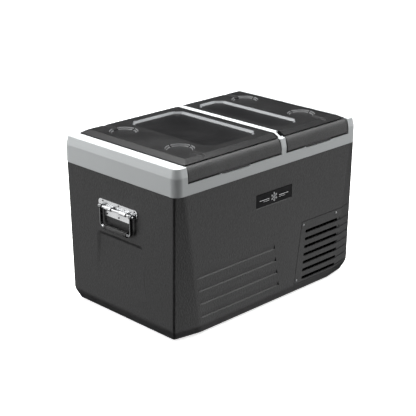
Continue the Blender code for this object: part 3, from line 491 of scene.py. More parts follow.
def summed(tree, value, factor, more):
    """A value times a factor, plus another value."""
    return node(tree, "ShaderNodeMath", {0: value, 1: factor, 2: more}, operation="MULTIPLY_ADD").outputs[0]


def blended(tree, factor, first, second):
    """A colour between two others."""
    inputs = {"Factor": factor, "A": (*first, 1.0), "B": (*second, 1.0)}
    return node(tree, "ShaderNodeMix", inputs, data_type="RGBA").outputs["Result"]


def add_bump(tree, shader, height, depth, strength=1.0):
    bump = node(tree, "ShaderNodeBump", {"Height": height, "Strength": strength, "Distance": depth})
    tree.links.new(bump.outputs["Normal"], shader.inputs["Normal"])


def colour_by(tree, shader, value, dark, light):
    """Let a texture's value choose the colour."""
    tree.links.new(blended(tree, ranged(tree, value, 0.0, 1.0), dark, light), shader.inputs["Base Color"])


def gloss_by(tree, shader, value, low, high):
    """Let a texture's value choose the roughness."""
    tree.links.new(ranged(tree, value, low, high), shader.inputs["Roughness"])


def moulded_plastic(name, colour, spread, roughness, grain, depth, stretch=(1.0, 1.0, 1.0), specular=0.5):
    """Spark-eroded plastic: fine grain in relief, cloudy tone and uneven gloss."""
    mat, tree, shader = principled(name, Specular_IOR_Level=specular)
    vector = coordinates(tree, stretch)
    light = tuple(min(1.0, c * (1 + spread)) for c in colour)
    dark = tuple(c * (1 - spread) for c in colour)
    cloud = noise(tree, vector, 14.0, 4.0)
    fine = noise(tree, vector, 0.9 / grain, 2.0, 0.6)
    cells = node(tree, "ShaderNodeTexVoronoi", {"Vector": vector, "Scale": 1.0 / grain}, feature="SMOOTH_F1")
    share = node(tree, "ShaderNodeMath", {0: cloud, 1: 0.4}, operation="MULTIPLY").outputs[0]
    colour_by(tree, shader, summed(tree, fine, 0.6, share), dark, light)
    gloss_by(tree, shader, cloud, roughness - 0.05, roughness + 0.05)
    add_bump(tree, shader, summed(tree, fine, 0.5, cells.outputs["Distance"]), depth)
    return mat


def smooth_plastic(name, colour, roughness, coat=0.0, specular=0.5):
    """Polished plastic: faint waviness, dust specks and rubbed patches."""
    mat, tree, shader = principled(name, Coat_Weight=coat, Coat_Roughness=0.08, Specular_IOR_Level=specular)
    vector = coordinates(tree)
    patches = noise(tree, vector, 22.0, 5.0, 0.6)
    specks = noise(tree, vector, 900.0, 1.0)
    light = tuple(min(1.0, c * 1.12 + 0.002) for c in colour)
    dark = tuple(c * 0.9 for c in colour)
    colour_by(tree, shader, patches, dark, light)
    gloss_by(tree, shader, patches, roughness * 0.75, roughness * 1.3)
    add_bump(tree, shader, specks, 0.00002, 0.5)
    return mat


def worn_metal(name, colour, roughness, brushed=(1.0, 1.0, 1.0), scratch=0.00003):
    """Plated or brushed metal with fine scratches along one axis and cloudy gloss."""
    mat, tree, shader = principled(name, Metallic=1.0)
    vector = coordinates(tree)
    cloud = noise(tree, vector, 40.0, 4.0)
    lines = noise(tree, coordinates(tree, brushed), 260.0, 3.0, 0.7)
    light = tuple(min(1.0, c * 1.06) for c in colour)
    dark = tuple(c * 0.86 for c in colour)
    colour_by(tree, shader, cloud, dark, light)
    gloss_by(tree, shader, lines, roughness * 0.7, roughness * 1.5)
    add_bump(tree, shader, lines, scratch, 0.6)
    return mat


def soft_rubber(name, colour, roughness=0.7):
    """Matt rubber with a fine stipple and a dusty bloom."""
    mat, tree, shader = principled(name, Sheen_Weight=0.15, Specular_IOR_Level=0.4)
    vector = coordinates(tree)
    stipple = noise(tree, vector, 1500.0, 2.0)
    bloom = noise(tree, vector, 35.0, 4.0)
    pale = tuple(c * 1.5 + 0.006 for c in colour)
    colour_by(tree, shader, bloom, colour, pale)
    gloss_by(tree, shader, bloom, roughness - 0.08, roughness + 0.08)
    add_bump(tree, shader, stipple, 0.00008, 0.6)
    return mat


def cellular_foam(name, colour):
    """Sawn polyurethane foam with open cells."""
    mat, tree, shader = principled(name, Roughness=0.9)
    vector = coordinates(tree)
    cells = node(tree, "ShaderNodeTexVoronoi", {"Vector": vector, "Scale": 700.0})
    stain = noise(tree, vector, 12.0, 5.0)
    brown = tuple(c * 0.82 for c in colour)
    colour_by(tree, shader, stain, brown, colour)
    add_bump(tree, shader, cells.outputs["Distance"], 0.0004, 0.8)
    return mat


BODY = moulded_plastic("body_moulded_plastic", (0.024, 0.024, 0.0245), 0.6, 0.46, 0.0030, 0.00045,
                       stretch=(1.0, 1.0, 0.6))
LID = moulded_plastic("lid_moulded_plastic", (0.0068, 0.0068, 0.0071), 0.25, 0.42, 0.0014, 0.00016,
                      specular=0.24)
LID_FLOOR = moulded_plastic("lid_recess_plastic", (0.0066, 0.0066, 0.007), 0.12, 0.36, 0.0009, 0.00002,
                            specular=0.14)
# Painted light: a lighter grey that stands for the lit walls of the cups.
CUP_LIGHT_RING = smooth_plastic("cup_wall_painted_light", (0.15, 0.152, 0.155), 0.4, specular=0.4)
COLLAR = moulded_plastic("collar_satin_plastic", (0.50, 0.52, 0.525), 0.035, 0.45, 0.0008, 0.00003)
LATCH = moulded_plastic("latch_moulded_plastic", (0.042, 0.042, 0.0425), 0.55, 0.42, 0.0022, 0.00030)
TRIM = smooth_plastic("trim_silver_lacquer", (0.15, 0.155, 0.16), 0.42, specular=0.3)
LINER = moulded_plastic("liner_plastic", (0.60, 0.61, 0.62), 0.03, 0.4, 0.0014, 0.00004)
FOAM = cellular_foam("insulating_foam", (0.78, 0.70, 0.48))
RUBBER = soft_rubber("black_rubber", (0.012, 0.012, 0.012))
GRIP = soft_rubber("grip_rubber", (0.014, 0.014, 0.014), 0.30)
# Painted shade: the bail is chrome, and its darkened base colour stands for the dark surroundings that its
# legs reflect.
BAIL_SHADED_CHROME = worn_metal("bail_chrome_painted_shade", (0.30, 0.305, 0.31), 0.08, scratch=0.00001)
CHROME = worn_metal("handle_chrome", (0.80, 0.81, 0.82), 0.10, scratch=0.00001)
PRESSED = worn_metal("pressed_plate_chrome", (0.80, 0.81, 0.82), 0.24, scratch=0.00012)
STEEL = worn_metal("plated_steel", (0.60, 0.61, 0.62), 0.28, brushed=(0.05, 1.0, 1.0))
WIRE = smooth_plastic("wire_coating", (0.72, 0.73, 0.74), 0.28, coat=0.4)
BLACK = moulded_plastic("black_case_plastic", (0.016, 0.016, 0.017), 0.25, 0.42, 0.0008, 0.00005)
PAINT = smooth_plastic("compressor_enamel", (0.012, 0.012, 0.013), 0.3, coat=0.5)
COPPER = worn_metal("copper_pipe", (0.66, 0.33, 0.19), 0.28, brushed=(1.0, 1.0, 0.1))
ALUMINIUM = worn_metal("cast_aluminium", (0.55, 0.56, 0.57), 0.4)
# Painted shade: the condenser is near-black and almost unreflective, so the vent slots in front of it read as
# dark shadow.
CONDENSER_SHADE = smooth_plastic("condenser_painted_shade", (0.003, 0.003, 0.003), 0.7, specular=0.08)
LENS = smooth_plastic("display_lens", (0.006, 0.008, 0.012), 0.07, coat=1.0)
MARK = smooth_plastic("printed_mark", (0.72, 0.73, 0.74), 0.35)
BADGE = smooth_plastic("badge_black", (0.005, 0.005, 0.006), 0.5, specular=0.12)

SLOTS = {
    "dark_body": (BODY,), "dark_lid": (LID, LID_FLOOR, LATCH), "light_grey": (COLLAR,),
    "silver_trim": (TRIM, CUP_LIGHT_RING, MARK), "chrome": (CHROME, BAIL_SHADED_CHROME, PRESSED), "liner": (LINER,),
    "rubber": (RUBBER, GRIP), "black_plastic": (BLACK, PAINT, BADGE), "plated_steel": (STEEL,),
    "coated_wire": (WIRE,), "copper": (COPPER,), "lens": (LENS,),
}
SLOT_OF = {material.name: slot for slot, materials in SLOTS.items() for material in materials}


# ---------------------------------------------------------------- body form
def share_down(z):
    """0 at the top of the body, 1 where the bottom chamfer starts."""
    return min(1.0, (SHELL_TOP - z) / (SHELL_TOP - CHAMFER_TOP))


def facet_at(z):
    return FACET_TOP + (FACET_LOW - FACET_TOP) * share_down(z)


def wall_inset(z):
    """How far the ends and the front stand in from the collar at a height."""
    return INSET_TOP + (INSET_LOW - INSET_TOP) * share_down(z)


def chamfer_run(z):
    """How far the bottom chamfer has turned in at a height, with a rounded start."""
    slope = CHAMFER_RUN / (CHAMFER_TOP - FOOT_HEIGHT)
    below = CHAMFER_TOP - z
    if below >= CHAMFER_BLEND:
        return slope * below
    if below <= -CHAMFER_BLEND:
        return 0.0
    return slope * (below + CHAMFER_BLEND) ** 2 / (4 * CHAMFER_BLEND)


def body_ring(z, inset=0.0):
    """The eight-sided outline of the body at a height, with rounded corners."""
    run = chamfer_run(z)
    ends = wall_inset(z) + run
    back = INSET_TOP + (INSET_BACK_LOW - INSET_TOP) * share_down(z) + run
    x = HALF_X - ends - inset
    y0 = FRONT + ends + inset
    y1 = HALF_Y - back - inset
    along = facet_at(max(z, CHAMFER_TOP)) - inset * 0.8
    front_side = y0 + FACET_SIDE_TOP + (FACET_SIDE - FACET_SIDE_TOP) * share_down(z) - inset * 0.2
    back_side = y1 - FACET_SIDE_BACK + inset * 0.2
    corners = [(x - along, y0), (x, front_side), (x, back_side), (x - along, y1),
               (along - x, y1), (-x, back_side), (-x, front_side), (along - x, y0)]
    return lifted(softened(corners, CORNER_REACH, CORNER_STEPS), "Z", z)


def body_form(name, inset, bottom, top):
    """The body's outer form, moved in by an inset, between two heights."""
    blend = [CHAMFER_TOP + CHAMFER_BLEND * k / 3 for k in range(-3, 4)]
    heights = [bottom] + [z for z in blend if bottom < z < top]
    low = heights[-1]
    heights += [low + (min(top, SHELL_TOP) - low) * k / 9 for k in range(1, 10)]
    rings = [body_ring(z, inset) for z in heights]
    if inset == 0.0:
        # the outer form has a small round at its foot and at its top edge
        underside = [(x * 0.994, y * 0.994, bottom) for x, y, _ in rings[0]]
        rings[0] = body_ring(bottom + 0.0012)
        rings.insert(0, underside)
        rings[-1] = body_ring(top - 0.0006)
        rings.append([(x * 0.9985, y * 0.9975, top) for x, y, _ in rings[-1]])
    if top > SHELL_TOP:
        rings.append([(x, y, top) for x, y, _ in rings[-1]])
    return loft(name, rings)


def step(t):
    """A smooth step from 0 to 1."""
    t = max(0.0, min(1.0, t))
    return t * t * (3 - 2 * t)


def ramp(t):
    """A straight slope from 0 to 1 with its two ends a little rounded."""
    t = max(0.0, min(1.0, t))
    return 0.35 * step(t) + 0.65 * t


def stops(*stretches):
    """Places along a line: its start, then for each stretch its end and its number of steps."""
    places = [stretches[0][0]]
    for end, count in stretches[1:]:
        start = places[-1]
        places += [start + (end - start) * (k + 1) / count for k in range(count)]
    return places


def height_field(name, rows, outside):
    """A cutter with one shaped face, given as rows of points, closed by a flat face outside the wall."""
    bm = bmesh.new()
    inner = [[bm.verts.new(p) for p in row] for row in rows]
    outer = [[bm.verts.new(outside(p)) for p in row] for row in rows]
    for grid in (inner, outer):
        for a, b in zip(grid, grid[1:]):
            for k in range(len(a) - 1):
                bm.faces.new((a[k], a[k + 1], b[k + 1], b[k]))
    near, far = [
        grid[0] + [row[-1] for row in grid[1:]] + grid[-1][-2::-1] + [row[0] for row in grid[-2:0:-1]]
        for grid in (inner, outer)]
    for k in range(len(near)):
        j = (k + 1) % len(near)
        bm.faces.new((near[k], near[j], far[j], far[k]))
    return to_object(name, bm)


def field_cutter(side):
    """Cutter of the soft-edged recess on one end; the left one fades out towards its foot."""
    sign = SIGN[side]
    low, high = FIELD_Z
    height = high - low
    across = stops((-1.0,), (-0.9, 8), (0.84, 6), (1.0, 10))
    rows = []
    for v in stops((0.0,), (0.08, 6), (0.9, 8), (1.0, 9)):
        z = low + height * v
        half = FIELD_HALF[0] + (FIELD_HALF[1] - FIELD_HALF[0]) * v
        row = []
        for u in across:
            soft = FIELD_SOFT_SIDE[1 if u > 0 else 0]
            depth = ramp((1 - v) * height / FIELD_SOFT_TOP) * ramp((1 - abs(u)) * half / soft)
            if side == "left":
                depth *= FIELD_DEPTH[side] * v
            else:
                depth *= FIELD_DEPTH[side] * step(v * height / FIELD_SOFT_TOP)
            row.append((sign * (HALF_X - wall_inset(z) + LIP_CLEAR - depth), u * half, z))
        rows.append(row)
    return height_field("field", rows, lambda p: (sign * (HALF_X + 0.01), p[1], p[2]))


def groove_cutter(index):
    """Cutter of one long groove: a floor that leans in as it goes down, and a quick lower lip."""
    top = GROOVE_TOP - GROOVE_PITCH * index
    left = -HALF_X + facet_at(top - GROOVE_HEIGHT / 2) + GROOVE_LEFT_MARGIN
    right = GROOVE_RIGHT + GROOVE_LEAN * index
    rows = []
    for down in stops((0.0,), (GROOVE_HEIGHT - GROOVE_LIP, 9), (GROOVE_HEIGHT, 5)):
        z = top - down
        lean = GROOVE_LEAN * down / GROOVE_PITCH
        row = []
        for x in stops((left,), (left + GROOVE_FADE, 8), (right - GROOVE_END, 6), (right, 6)):
            depth = GROOVE_DEPTH * min(ramp(down / (GROOVE_HEIGHT - GROOVE_LIP)),
                                       ramp((GROOVE_HEIGHT - down) / GROOVE_LIP))
            depth *= step((x - left) / GROOVE_FADE) * step((right - x) / GROOVE_END)
            share = (x - left) / (right - left)
            row.append((x + lean * share, FRONT + wall_inset(z) - LIP_CLEAR + depth, z))
        rows.append(row)
    return height_field("groove", rows, lambda p: (p[0], FRONT - 0.01, p[2]))


def badge_pocket():
    """Cutter of the badge's pocket, with a chamfered lip."""
    clear, depth, flare, beyond = 0.0008, 0.0024, 0.0014, 0.01
    x, z = [grown(limits, clear) for limits in spans("badge_plate", "XZ")]
    wall = FRONT + wall_inset(middle(z))
    levels = ((wall + depth, 0.0), (wall + flare, 0.0), (wall, flare), (wall - beyond, flare + beyond))
    return soft_block("pocket", "Y", x, z, levels, 0.001, 3)


def vent_outline(grow):
    """Outline of the vent cover with its slanted left side, grown by a margin, in X and Z."""
    right = HALF_X + 0.02
    return [(VENT_LEFT[0] - grow, VENT_Z[0] - grow), (right, VENT_Z[0] - grow),
            (right, VENT_Z[1] + grow), (VENT_LEFT[1] - grow, VENT_Z[1] + grow)]


def end_boss(side):
    """Block that keeps the wall behind an end's recess whole."""
    sign = SIGN[side]
    wider = 1.05
    outline = mirrored([(FIELD_HALF[0] * wider, FIELD_Z[0] - 0.005),
                        (FIELD_HALF[1] * wider, FIELD_Z[1] + 0.004)])
    reach = sign * (HALF_X - INSET_LOW - FIELD_BACKING[side])
    return prism("boss", outline, "X", *sorted((reach, sign * HALF_X * 1.1)))


def body_shell():
    """Hollow outer body with its grooves, end recesses, badge pocket and openings."""
    shell = body_form("body_shell", 0.0, FOOT_HEIGHT, SHELL_TOP)
    cavity = body_form("cavity", WALL, FOOT_HEIGHT + WALL, SHELL_TOP + 0.01)
    cut(cavity, end_boss("left"), end_boss("right"))
    cut(shell, cavity)
    cut(shell, *[groove_cutter(index) for index in range(GROOVE_COUNT)])
    cut(shell, field_cutter("left"), field_cutter("right"))
    cut(shell, badge_pocket())
    rebate = prism("rebate", vent_outline(0.0011), "Y", FRONT - 0.01, FRONT + FACET_SIDE + 0.0005)
    cut(rebate, body_form("rebate_floor", VENT_THICK + GAP, FOOT_HEIGHT + 0.002, SHELL_TOP))
    cut(shell, rebate)
    right, low, high = HALF_X - 0.064, 0.036, 0.184
    window = [(0.112, low), (right, low), (right, high), (0.122, high)]
    cut(shell, prism("window", window, "Y", FRONT - 0.01, FRONT + 0.012))
    reach = (HALF_X - 0.03, HALF_X + 0.01)
    cut(shell, block("panel_hole", reach, around(0.0, 0.0595), around(PANEL_Z, 0.018)))
    for name in ("dc_inlet", "ac_inlet"):
        y, z = [grown(limits, -INLET_FLANGE) for limits in spans(name, "YZ")]
        cut(shell, block("inlet_hole", reach, y, z))
    place(shell, "cabinet", BODY, "outer_shell", angle=24)


def slot_cutters(index):
    """The rounded slot through the panel and the shallow groove that carries on round the corner."""
    z = SLOT_TOP - SLOT_PITCH * index
    left = SLOT_LEFT - SLOT_LEAN * index
    right = HALF_X - facet_at(z) + 0.004
    half = SLOT_HEIGHT / 2
    outline = softened(rectangle((left, right), around(z, half)), half * 0.85, 5)
    through = prism("slot", outline, "Y", FRONT - 0.01, FRONT + 0.03)
    lip = 0.0007
    wide = softened(rectangle((left - lip, HALF_X + 0.01), around(z, half + lip)), half, 5)
    shallow = prism("shallow", wide, "Y", FRONT - 0.01, FRONT + FACET_SIDE + 0.001)
    cut(shallow, body_form("shallow_floor", 0.0019, FOOT_HEIGHT + 0.001, VENT_Z[1] + 0.023))
    return shallow, through


def vent_cover():
    """Slotted cover that follows the body round its corner facet."""
    panel = prism("vent_cover", vent_outline(-0.0003), "Y", FRONT - 0.01, FRONT + FACET_SIDE)
    keep(panel, body_form("outside", 0.0, FOOT_HEIGHT, SHELL_TOP))
    cut(panel, body_form("inside", VENT_THICK, FOOT_HEIGHT + 0.001, SHELL_TOP))
    for index in range(SLOT_COUNT):
        cut(panel, *slot_cutters(index))
    bevel(panel, 0.0004, 2, 50)
    place(panel, "cabinet", BODY, "vent_panel", angle=24)


def screw(name, axis, centre, face, sign, radius=0.0026, height=0.0011, turn=0.3):
    """A domed screw head with a cross recess, standing on a face."""
    dome = ((1.0, 0.0), (1.0, 0.35), (0.86, 0.75), (0.55, 0.95), (0.15, 1.0))
    head = turned(name, axis, centre, [(radius * out, face + sign * height * up) for out, up in dome], 24)
    arm, wide = radius * 0.62, radius * 0.13
    for angle in (turn, turn + math.pi / 2):
        along = Vector((math.cos(angle), math.sin(angle)))
        across = Vector((-along.y, along.x))
        outline = [tuple(Vector(centre) + along * a * arm + across * b * wide)
                   for a, b in rectangle((-1, 1), (-1, 1))]
        ends = sorted((face + sign * height * 0.45, face + sign * height * 2))
        cut(head, prism("cross", outline, axis, *ends))
    return head


def vent_screws():
    for k, (x, z) in enumerate(((0.122, 0.1885), (0.252, 0.1885), (0.0995, 0.0405))):
        face = FRONT + wall_inset(z) - 0.0001
        head = screw("vent_screw_%d" % (k + 1), "Y", (x, z), face, -1, turn=0.4 + k)
        place(head, "cabinet", STEEL, angle=40)


def badge():
    x, y, z = spans("badge_plate")
    levels = ((y[1], 0.0), (y[0] + 0.0006, 0.0), (y[0] + 0.0001, -0.0004), (y[0], -0.0009))
    plate = soft_block("badge", "Y", x, z, levels, 0.0012)
    place(plate, "cabinet", BADGE, "badge_plate")
    place(snowflake((middle(x), middle(z)), y[0]), "cabinet", MARK)


def snowflake(centre, face):
    """A plain six-armed snow crystal between two rows of bars, standing 0.3 mm proud."""
    bm = bmesh.new()
    origin = Vector(centre)

    def bar(start, end, half):
        outline = flat_bar(start, end, half)
        add_rings(bm, [lifted(outline, "Y", y) for y in around(face, 0.0003)])

    def arrow(angle):
        return Vector((math.cos(angle), math.sin(angle)))

    radius = 0.0115
    lean = math.radians(50)
    for k in range(6):
        angle = math.radians(30 + 60 * k)
        arm = arrow(angle)
        bar(origin + arm * 0.0012, origin + arm * radius, 0.0006)
        for share, twig in ((0.5, 0.0038), (0.78, 0.0026)):
            root = origin + arm * radius * share
            for tip in (angle - lean, angle + lean):
                bar(root, root + twig * arrow(tip), 0.0005)
    for sign in (-1, 1):
        for reach, lower, half in ((0.052, 0.0, 0.0007), (0.040, 0.0045, 0.0004)):
            bar(origin + Vector((sign * 0.018, -lower)), origin + Vector((sign * reach, -lower)), half)
    return to_object("badge_snow_crystal", bm)


# ---------------------------------------------------------------- collar
def rounded(half_x, half_y, radius, z, steps=10):
    """A rectangle with round corners, centred on the origin."""
    points = []
    for quarter, (sx, sy) in enumerate(((1, 1), (-1, 1), (-1, -1), (1, -1))):
        for k in range(steps + 1):
            angle = math.pi / 2 * (quarter + k / steps)
            points.append((sx * (half_x - radius) + radius * math.cos(angle),
                           sy * (half_y - radius) + radius * math.sin(angle), z))
    return points


def round_box(x, y, radius, z, steps=6):
    """The same between limits that aren't centred."""
    return [(px + middle(x), py + middle(y), pz) for px, py, pz in
            rounded((x[1] - x[0]) / 2, (y[1] - y[0]) / 2, radius, z, steps)]


def front_profile():
    """The rounded front of a latch bar, from foot to bevel, in Y and Z."""
    points = [(0.0004, 0.4024), (0.0006, 0.4105), (0.0012, 0.4171), (0.0033, 0.4250), (0.0069, 0.4318)]
    return [tuple(p) for p in spline([(FRONT + y, z) for y, z in points] + [BEVEL_FOOT], 3)]


def divider_cutters():
    """What the divider loses: its right side towards the front, and a rebate along each side."""
    over = PLATEAU + 0.01
    beside = DIVIDER[1] + 0.001
    rebate_z = (EDGE_LOW - GAP, over)
    yield block("column_gap", (DIVIDER_FRONT, beside), (FRONT - 0.01, PLATEAU_FRONT + 0.005), (SEAT, over))
    yield block("neck_gap", (DIVIDER_NECK, beside), (LIP_FRONT + 0.0005, PLATEAU_FRONT + 0.003),
                (SEAT + 0.001, over))
    yield block("rebate", (DIVIDER[0] - 0.001, DIVIDER[0] + DIVIDER_EDGE),
                (LIP_FRONT + 0.0005, BAY_BACK - 0.001), rebate_z)
    yield block("rebate", (DIVIDER[1] - 0.0016, beside), (PLATEAU_FRONT, BAY_BACK - 0.001), rebate_z)


def seat_cutters(side):
    """The tub's mouth, the hinge's pocket, the finger scoop and the lowered edge of one lid's seat."""
    x, y, _ = TUBS[side]
    centre = LID_MIDDLE[side]
    yield loft("mouth", [round_box(grown(x, GAP), grown(y, GAP), TUB_RADIUS, z) for z in (0.3, SEAT + 0.01)])
    yield block("pocket", around(centre, HINGE_HALF), (BAY_BACK - 0.002, 0.187), (0.4055, RIM_TOP + 0.01))
    narrow, wide = around(centre, SCOOP_HALF - 0.007), around(centre, SCOOP_HALF)
    over = SEAT + 0.002
    scoop = [(narrow[0], SCOOP_FLOOR), (narrow[1], SCOOP_FLOOR), (wide[1], over), (wide[0], over)]
    yield prism("scoop", scoop, "Y", FRONT - 0.01, FRONT + 0.010)
    yield block("ledge", LEDGE_SPANS[side], (FRONT - 0.01, LEDGE_BACK), (LEDGE, SEAT + 0.001))


def collar_ring():
    """Collar with its sloping rim, the seats of the two lids and the divider between them."""
    section = [(0.0010, COLLAR_BOTTOM), (0.0003, COLLAR_BOTTOM + 0.0003), (0.0, COLLAR_BOTTOM + 0.0010),
               (0.0, COLLAR_SHOULDER - 0.0012), (0.0001, COLLAR_SHOULDER - 0.0003),
               (0.0004, COLLAR_SHOULDER + 0.0011), (RIM_INSET - 0.0004, RIM_TOP - 0.0018),
               (RIM_INSET + 0.0001, RIM_TOP - 0.0006), (RIM_INSET + 0.0008, RIM_TOP - 0.0001),
               (RIM_INSET + 0.0016, RIM_TOP)]
    collar = loft("collar_ring", [rounded(HALF_X - d, HALF_Y - d, COLLAR_RADIUS - d, z) for d, z in section])
    for limits in ((-BAY_OUTER, DIVIDER[0]), (DIVIDER[1], BAY_OUTER)):
        cut(collar, block("bay", limits, (FRONT - 0.02, BAY_BACK), (SEAT, RIM_TOP + 0.05)))
    foot = SEAT - 0.004
    profile = [(FRONT + 0.0002, foot), (FRONT + 0.0003, COLLAR_SHOULDER), BEVEL_FOOT, (LIP_FRONT, 0.4390),
               (PLATEAU_FRONT, PLATEAU), (PLATEAU_BACK, PLATEAU), (BAY_BACK, RIM_TOP + 0.0003),
               (BAY_BACK + 0.002, foot)]
    join(collar, prism("divider", profile, "X", *DIVIDER))
    cut(collar, *divider_cutters())
    for side in SIDES:
        cut(collar, *seat_cutters(side))
    bevel(collar, 0.0004, 2, 40)
    place(collar, "cabinet", COLLAR, "collar_frame", angle=28)


def divider_edge():
    """Dark strip along the left side of the divider, level with the lid beside it."""
    front, back, top = LIP_FRONT + 0.0010, BAY_BACK - 0.0020, PLATEAU - 0.0002
    profile = [(front, EDGE_LOW), (front, 0.4392), (PLATEAU_FRONT, top), (PLATEAU_BACK, top),
               (back, RIM_TOP + 0.0006), (back, EDGE_LOW)]
    strip = prism("divider_edge", profile, "X", DIVIDER[0] + 0.0002, DIVIDER[0] + DIVIDER_EDGE - 0.0003)
    place(strip, "cabinet", LID)


def scoop_shade_pads():
    """Dark pads that line the two finger scoops: painted shade, standing for the shadow inside each scoop
    under its latch bar.
    """
    low, high, inner = SCOOP_FLOOR + 0.0004, 0.4006, FRONT + 0.0096
    section = ((low, 0.0046, 0.0076), (low + 0.0012, 0.0032, 0.0062), (high - 0.0006, 0.0026, 0.0014),
               (high, 0.0032, 0.0012))
    for side in SIDES:
        rings = []
        for z, front, narrower in section:
            x = around(LID_MIDDLE[side], SCOOP_HALF - narrower)
            rings.append(lifted(rectangle(x, (FRONT + front, inner)), "Z", z))
        place(loft("%s_scoop_pad" % side, rings), "cabinet", LATCH)


def seat_shadow_strips():
    """Dark rubber strips on the lowered ledge under the latch bars, on both sides of each finger scoop:
    painted shade that turns the gap under each bar into a dark shadow line.
    """
    front, back, low = FRONT + 0.0010, LEDGE_BACK - 0.0004, LEDGE + 0.0002
    top = low + 0.0016
    section = [(front, low), (back, low), (back, top - 0.0004), (back - 0.0006, top), (front + 0.0008, top),
               (front, top - 0.0006)]
    for side in SIDES:
        x0, x1 = LEDGE_SPANS[side]
        scoop = around(LID_MIDDLE[side], SCOOP_HALF)
        for k, limits in enumerate(((x0, scoop[0]), (scoop[1], x1))):
            strip = prism("%s_seat_strip_%d" % (side, k + 1), section, "X", *grown(limits, -0.0006))
            place(strip, "cabinet", RUBBER, angle=30)


# ---------------------------------------------------------------- lids
def lid_form(name, side, inset):
    """The outer form of a lid, or, moved in, its cavity. It slopes on three sides."""
    x0, x1 = LID_SPANS[side]
    sides = grown((x0, x1), -inset)
    outer = max(LID_BEVEL, inset)
    upper = (x0 + outer, x1 - inset) if side == "left" else (x0 + inset, x1 - outer)
    foot_y = (LID_FRONT_WALL + inset, LID_BACK - inset)
    plateau_y = (PLATEAU_FRONT, PLATEAU_BACK)
    if inset:
        return loft(name, [lifted(rectangle(sides, foot_y), "Z", LID_BOTTOM - 0.01),
                           lifted(rectangle(sides, foot_y), "Z", CAVITY_EDGE - inset),
                           lifted(rectangle(upper, plateau_y), "Z", PLATEAU - inset)])
    lower = prism(name, rectangle(sides, foot_y), "Z", LID_BOTTOM, LIP_BOTTOM)
    lip_y = (LIP_FRONT, LID_BACK)
    lip = loft("lip", [lifted(rectangle(sides, lip_y), "Z", LIP_BOTTOM),
                       lifted(rectangle(sides, lip_y), "Z", LIP_BOTTOM + 0.0006),
                       lifted(rectangle(upper, plateau_y), "Z", PLATEAU)])
    return join(lower, lip)


def cup_cutter(centre, boss=0.0):
    """Cutter of a cup: two steps, four small notches in its wall and a rounded lip."""
    floor = PLATEAU - CUP_DEPTH - boss
    r = CUP_RADIUS + boss
    over = PLATEAU + 0.003
    if boss:
        return turned("cup", "Z", centre, [(r, floor), (r, over)], 72)
    inner, ledge = r - CUP_STEP, PLATEAU - CUP_LEDGE
    profile = [(inner - 0.0003, floor), (inner, floor + 0.0003), (inner, ledge - 0.0003),
               (inner + 0.0003, ledge), (r - 0.0003, ledge), (r, ledge + 0.0003),
               (r, PLATEAU - 0.0004), (r + 0.0004, PLATEAU), (r + 0.003, over)]
    cup = turned("cup", "Z", centre, profile, 72)
    for spot in circle(centre, inner, 4):
        join(cup, rod("notch", "Z", spot, CUP_NOTCH, floor, over, 16))
    return cup


def cup_light_rings(side):
    """Sloping grey rings that line the two steps of each cup, left open at the notches and the channel. Their
    grey is painted light: the cups are of the lid's dark plastic, and the grey stands for their lit walls.
    """
    ledge = PLATEAU - CUP_LEDGE
    run = 0.0016
    steps = ((CUP_RADIUS, PLATEAU - 0.0006, ledge),
             (CUP_RADIUS - CUP_STEP, ledge - 0.0004, PLATEAU - CUP_DEPTH))
    for k, cup_y in enumerate(CUP_YS):
        centre = (SIGN[side] * CUP_X, cup_y)
        for j, (r, top, low) in enumerate(steps):
            outer, foot = r - 0.0002, low + 0.0001
            section = [(outer, foot), (outer, top), (outer - 0.0003, top), (outer - run, low + 0.0003),
                       (outer - run, foot)]
            ring = turned("%s_cup_%d_ring_%d" % (side, k + 1, j + 1), "Z", centre, section, 72, closed=True)
            gap_z = (low - 0.001, PLATEAU + 0.003)
            for spot in circle(centre, r, 4):
                cut(ring, rod("open", "Z", spot, CUP_NOTCH, *gap_z, 16))
            away = math.copysign(CUP_RADIUS + 0.002, cup_y)
            cut(ring, block("open", around(centre[0], CHANNEL_WIDTH / 2), (cup_y, cup_y + away), gap_z))
            place(ring, "lid_" + side, CUP_LIGHT_RING, angle=24)


def channel_cutter(side, cup_y, boss=0.0):
    """Cutter of a drain channel from a cup to the lid's edge, falling outwards."""
    away = -1 if cup_y < 0 else 1
    edge = LIP_FRONT if away < 0 else LID_BACK
    centre = SIGN[side] * CUP_X
    half = CHANNEL_WIDTH / 2 + boss
    foot = half - 0.0045
    low = PLATEAU - CHANNEL_DEPTH - boss
    fall = 0.0006 if away < 0 else 0.0012
    rings = []
    for y, z in ((cup_y + away * (CUP_RADIUS - 0.006), low), (edge + away * 0.004, low - fall)):
        right = [(foot - 0.0006, z), (foot + 0.0003, z + 0.0003), (half - 0.0006, PLATEAU - 0.0004),
                 (half + 0.0006, PLATEAU), (half + 0.003, PLATEAU + 0.0024)]
        ring = [(centre + x, h) for x, h in right] + [(centre - x, h) for x, h in reversed(right)]
        rings.append(lifted(ring, "Y", y))
    return loft("channel", rings)


def recess_ring(side, inset, corner, z):
    """Eight-sided outline of a lid's recess, moved in by an inset."""
    return lifted(octagon(grown(RECESS_X[side], -inset), grown(RECESS_Y, -inset), corner), "Z", z)


def hollow_cutters(side, boss=0.0):
    """Cutters of a lid's recess, cups and channels, or, with a boss, of the room round them."""
    recess_z = (PLATEAU - RECESS_DEPTH - boss, PLATEAU + 0.003)
    cutters = [loft("recess", [recess_ring(side, -boss, RECESS_CHAMFER, z) for z in recess_z])]
    for cup_y in CUP_YS:
        cutters += [cup_cutter((SIGN[side] * CUP_X, cup_y), boss), channel_cutter(side, cup_y, boss)]
    return cutters


def hinge_notch(side, z):
    """Cutter that clears the hinge at the back of a lid."""
    return block("notch", around(LID_MIDDLE[side], HINGE_HALF), (HINGE_NOTCH, LID_BACK + 0.01), z)


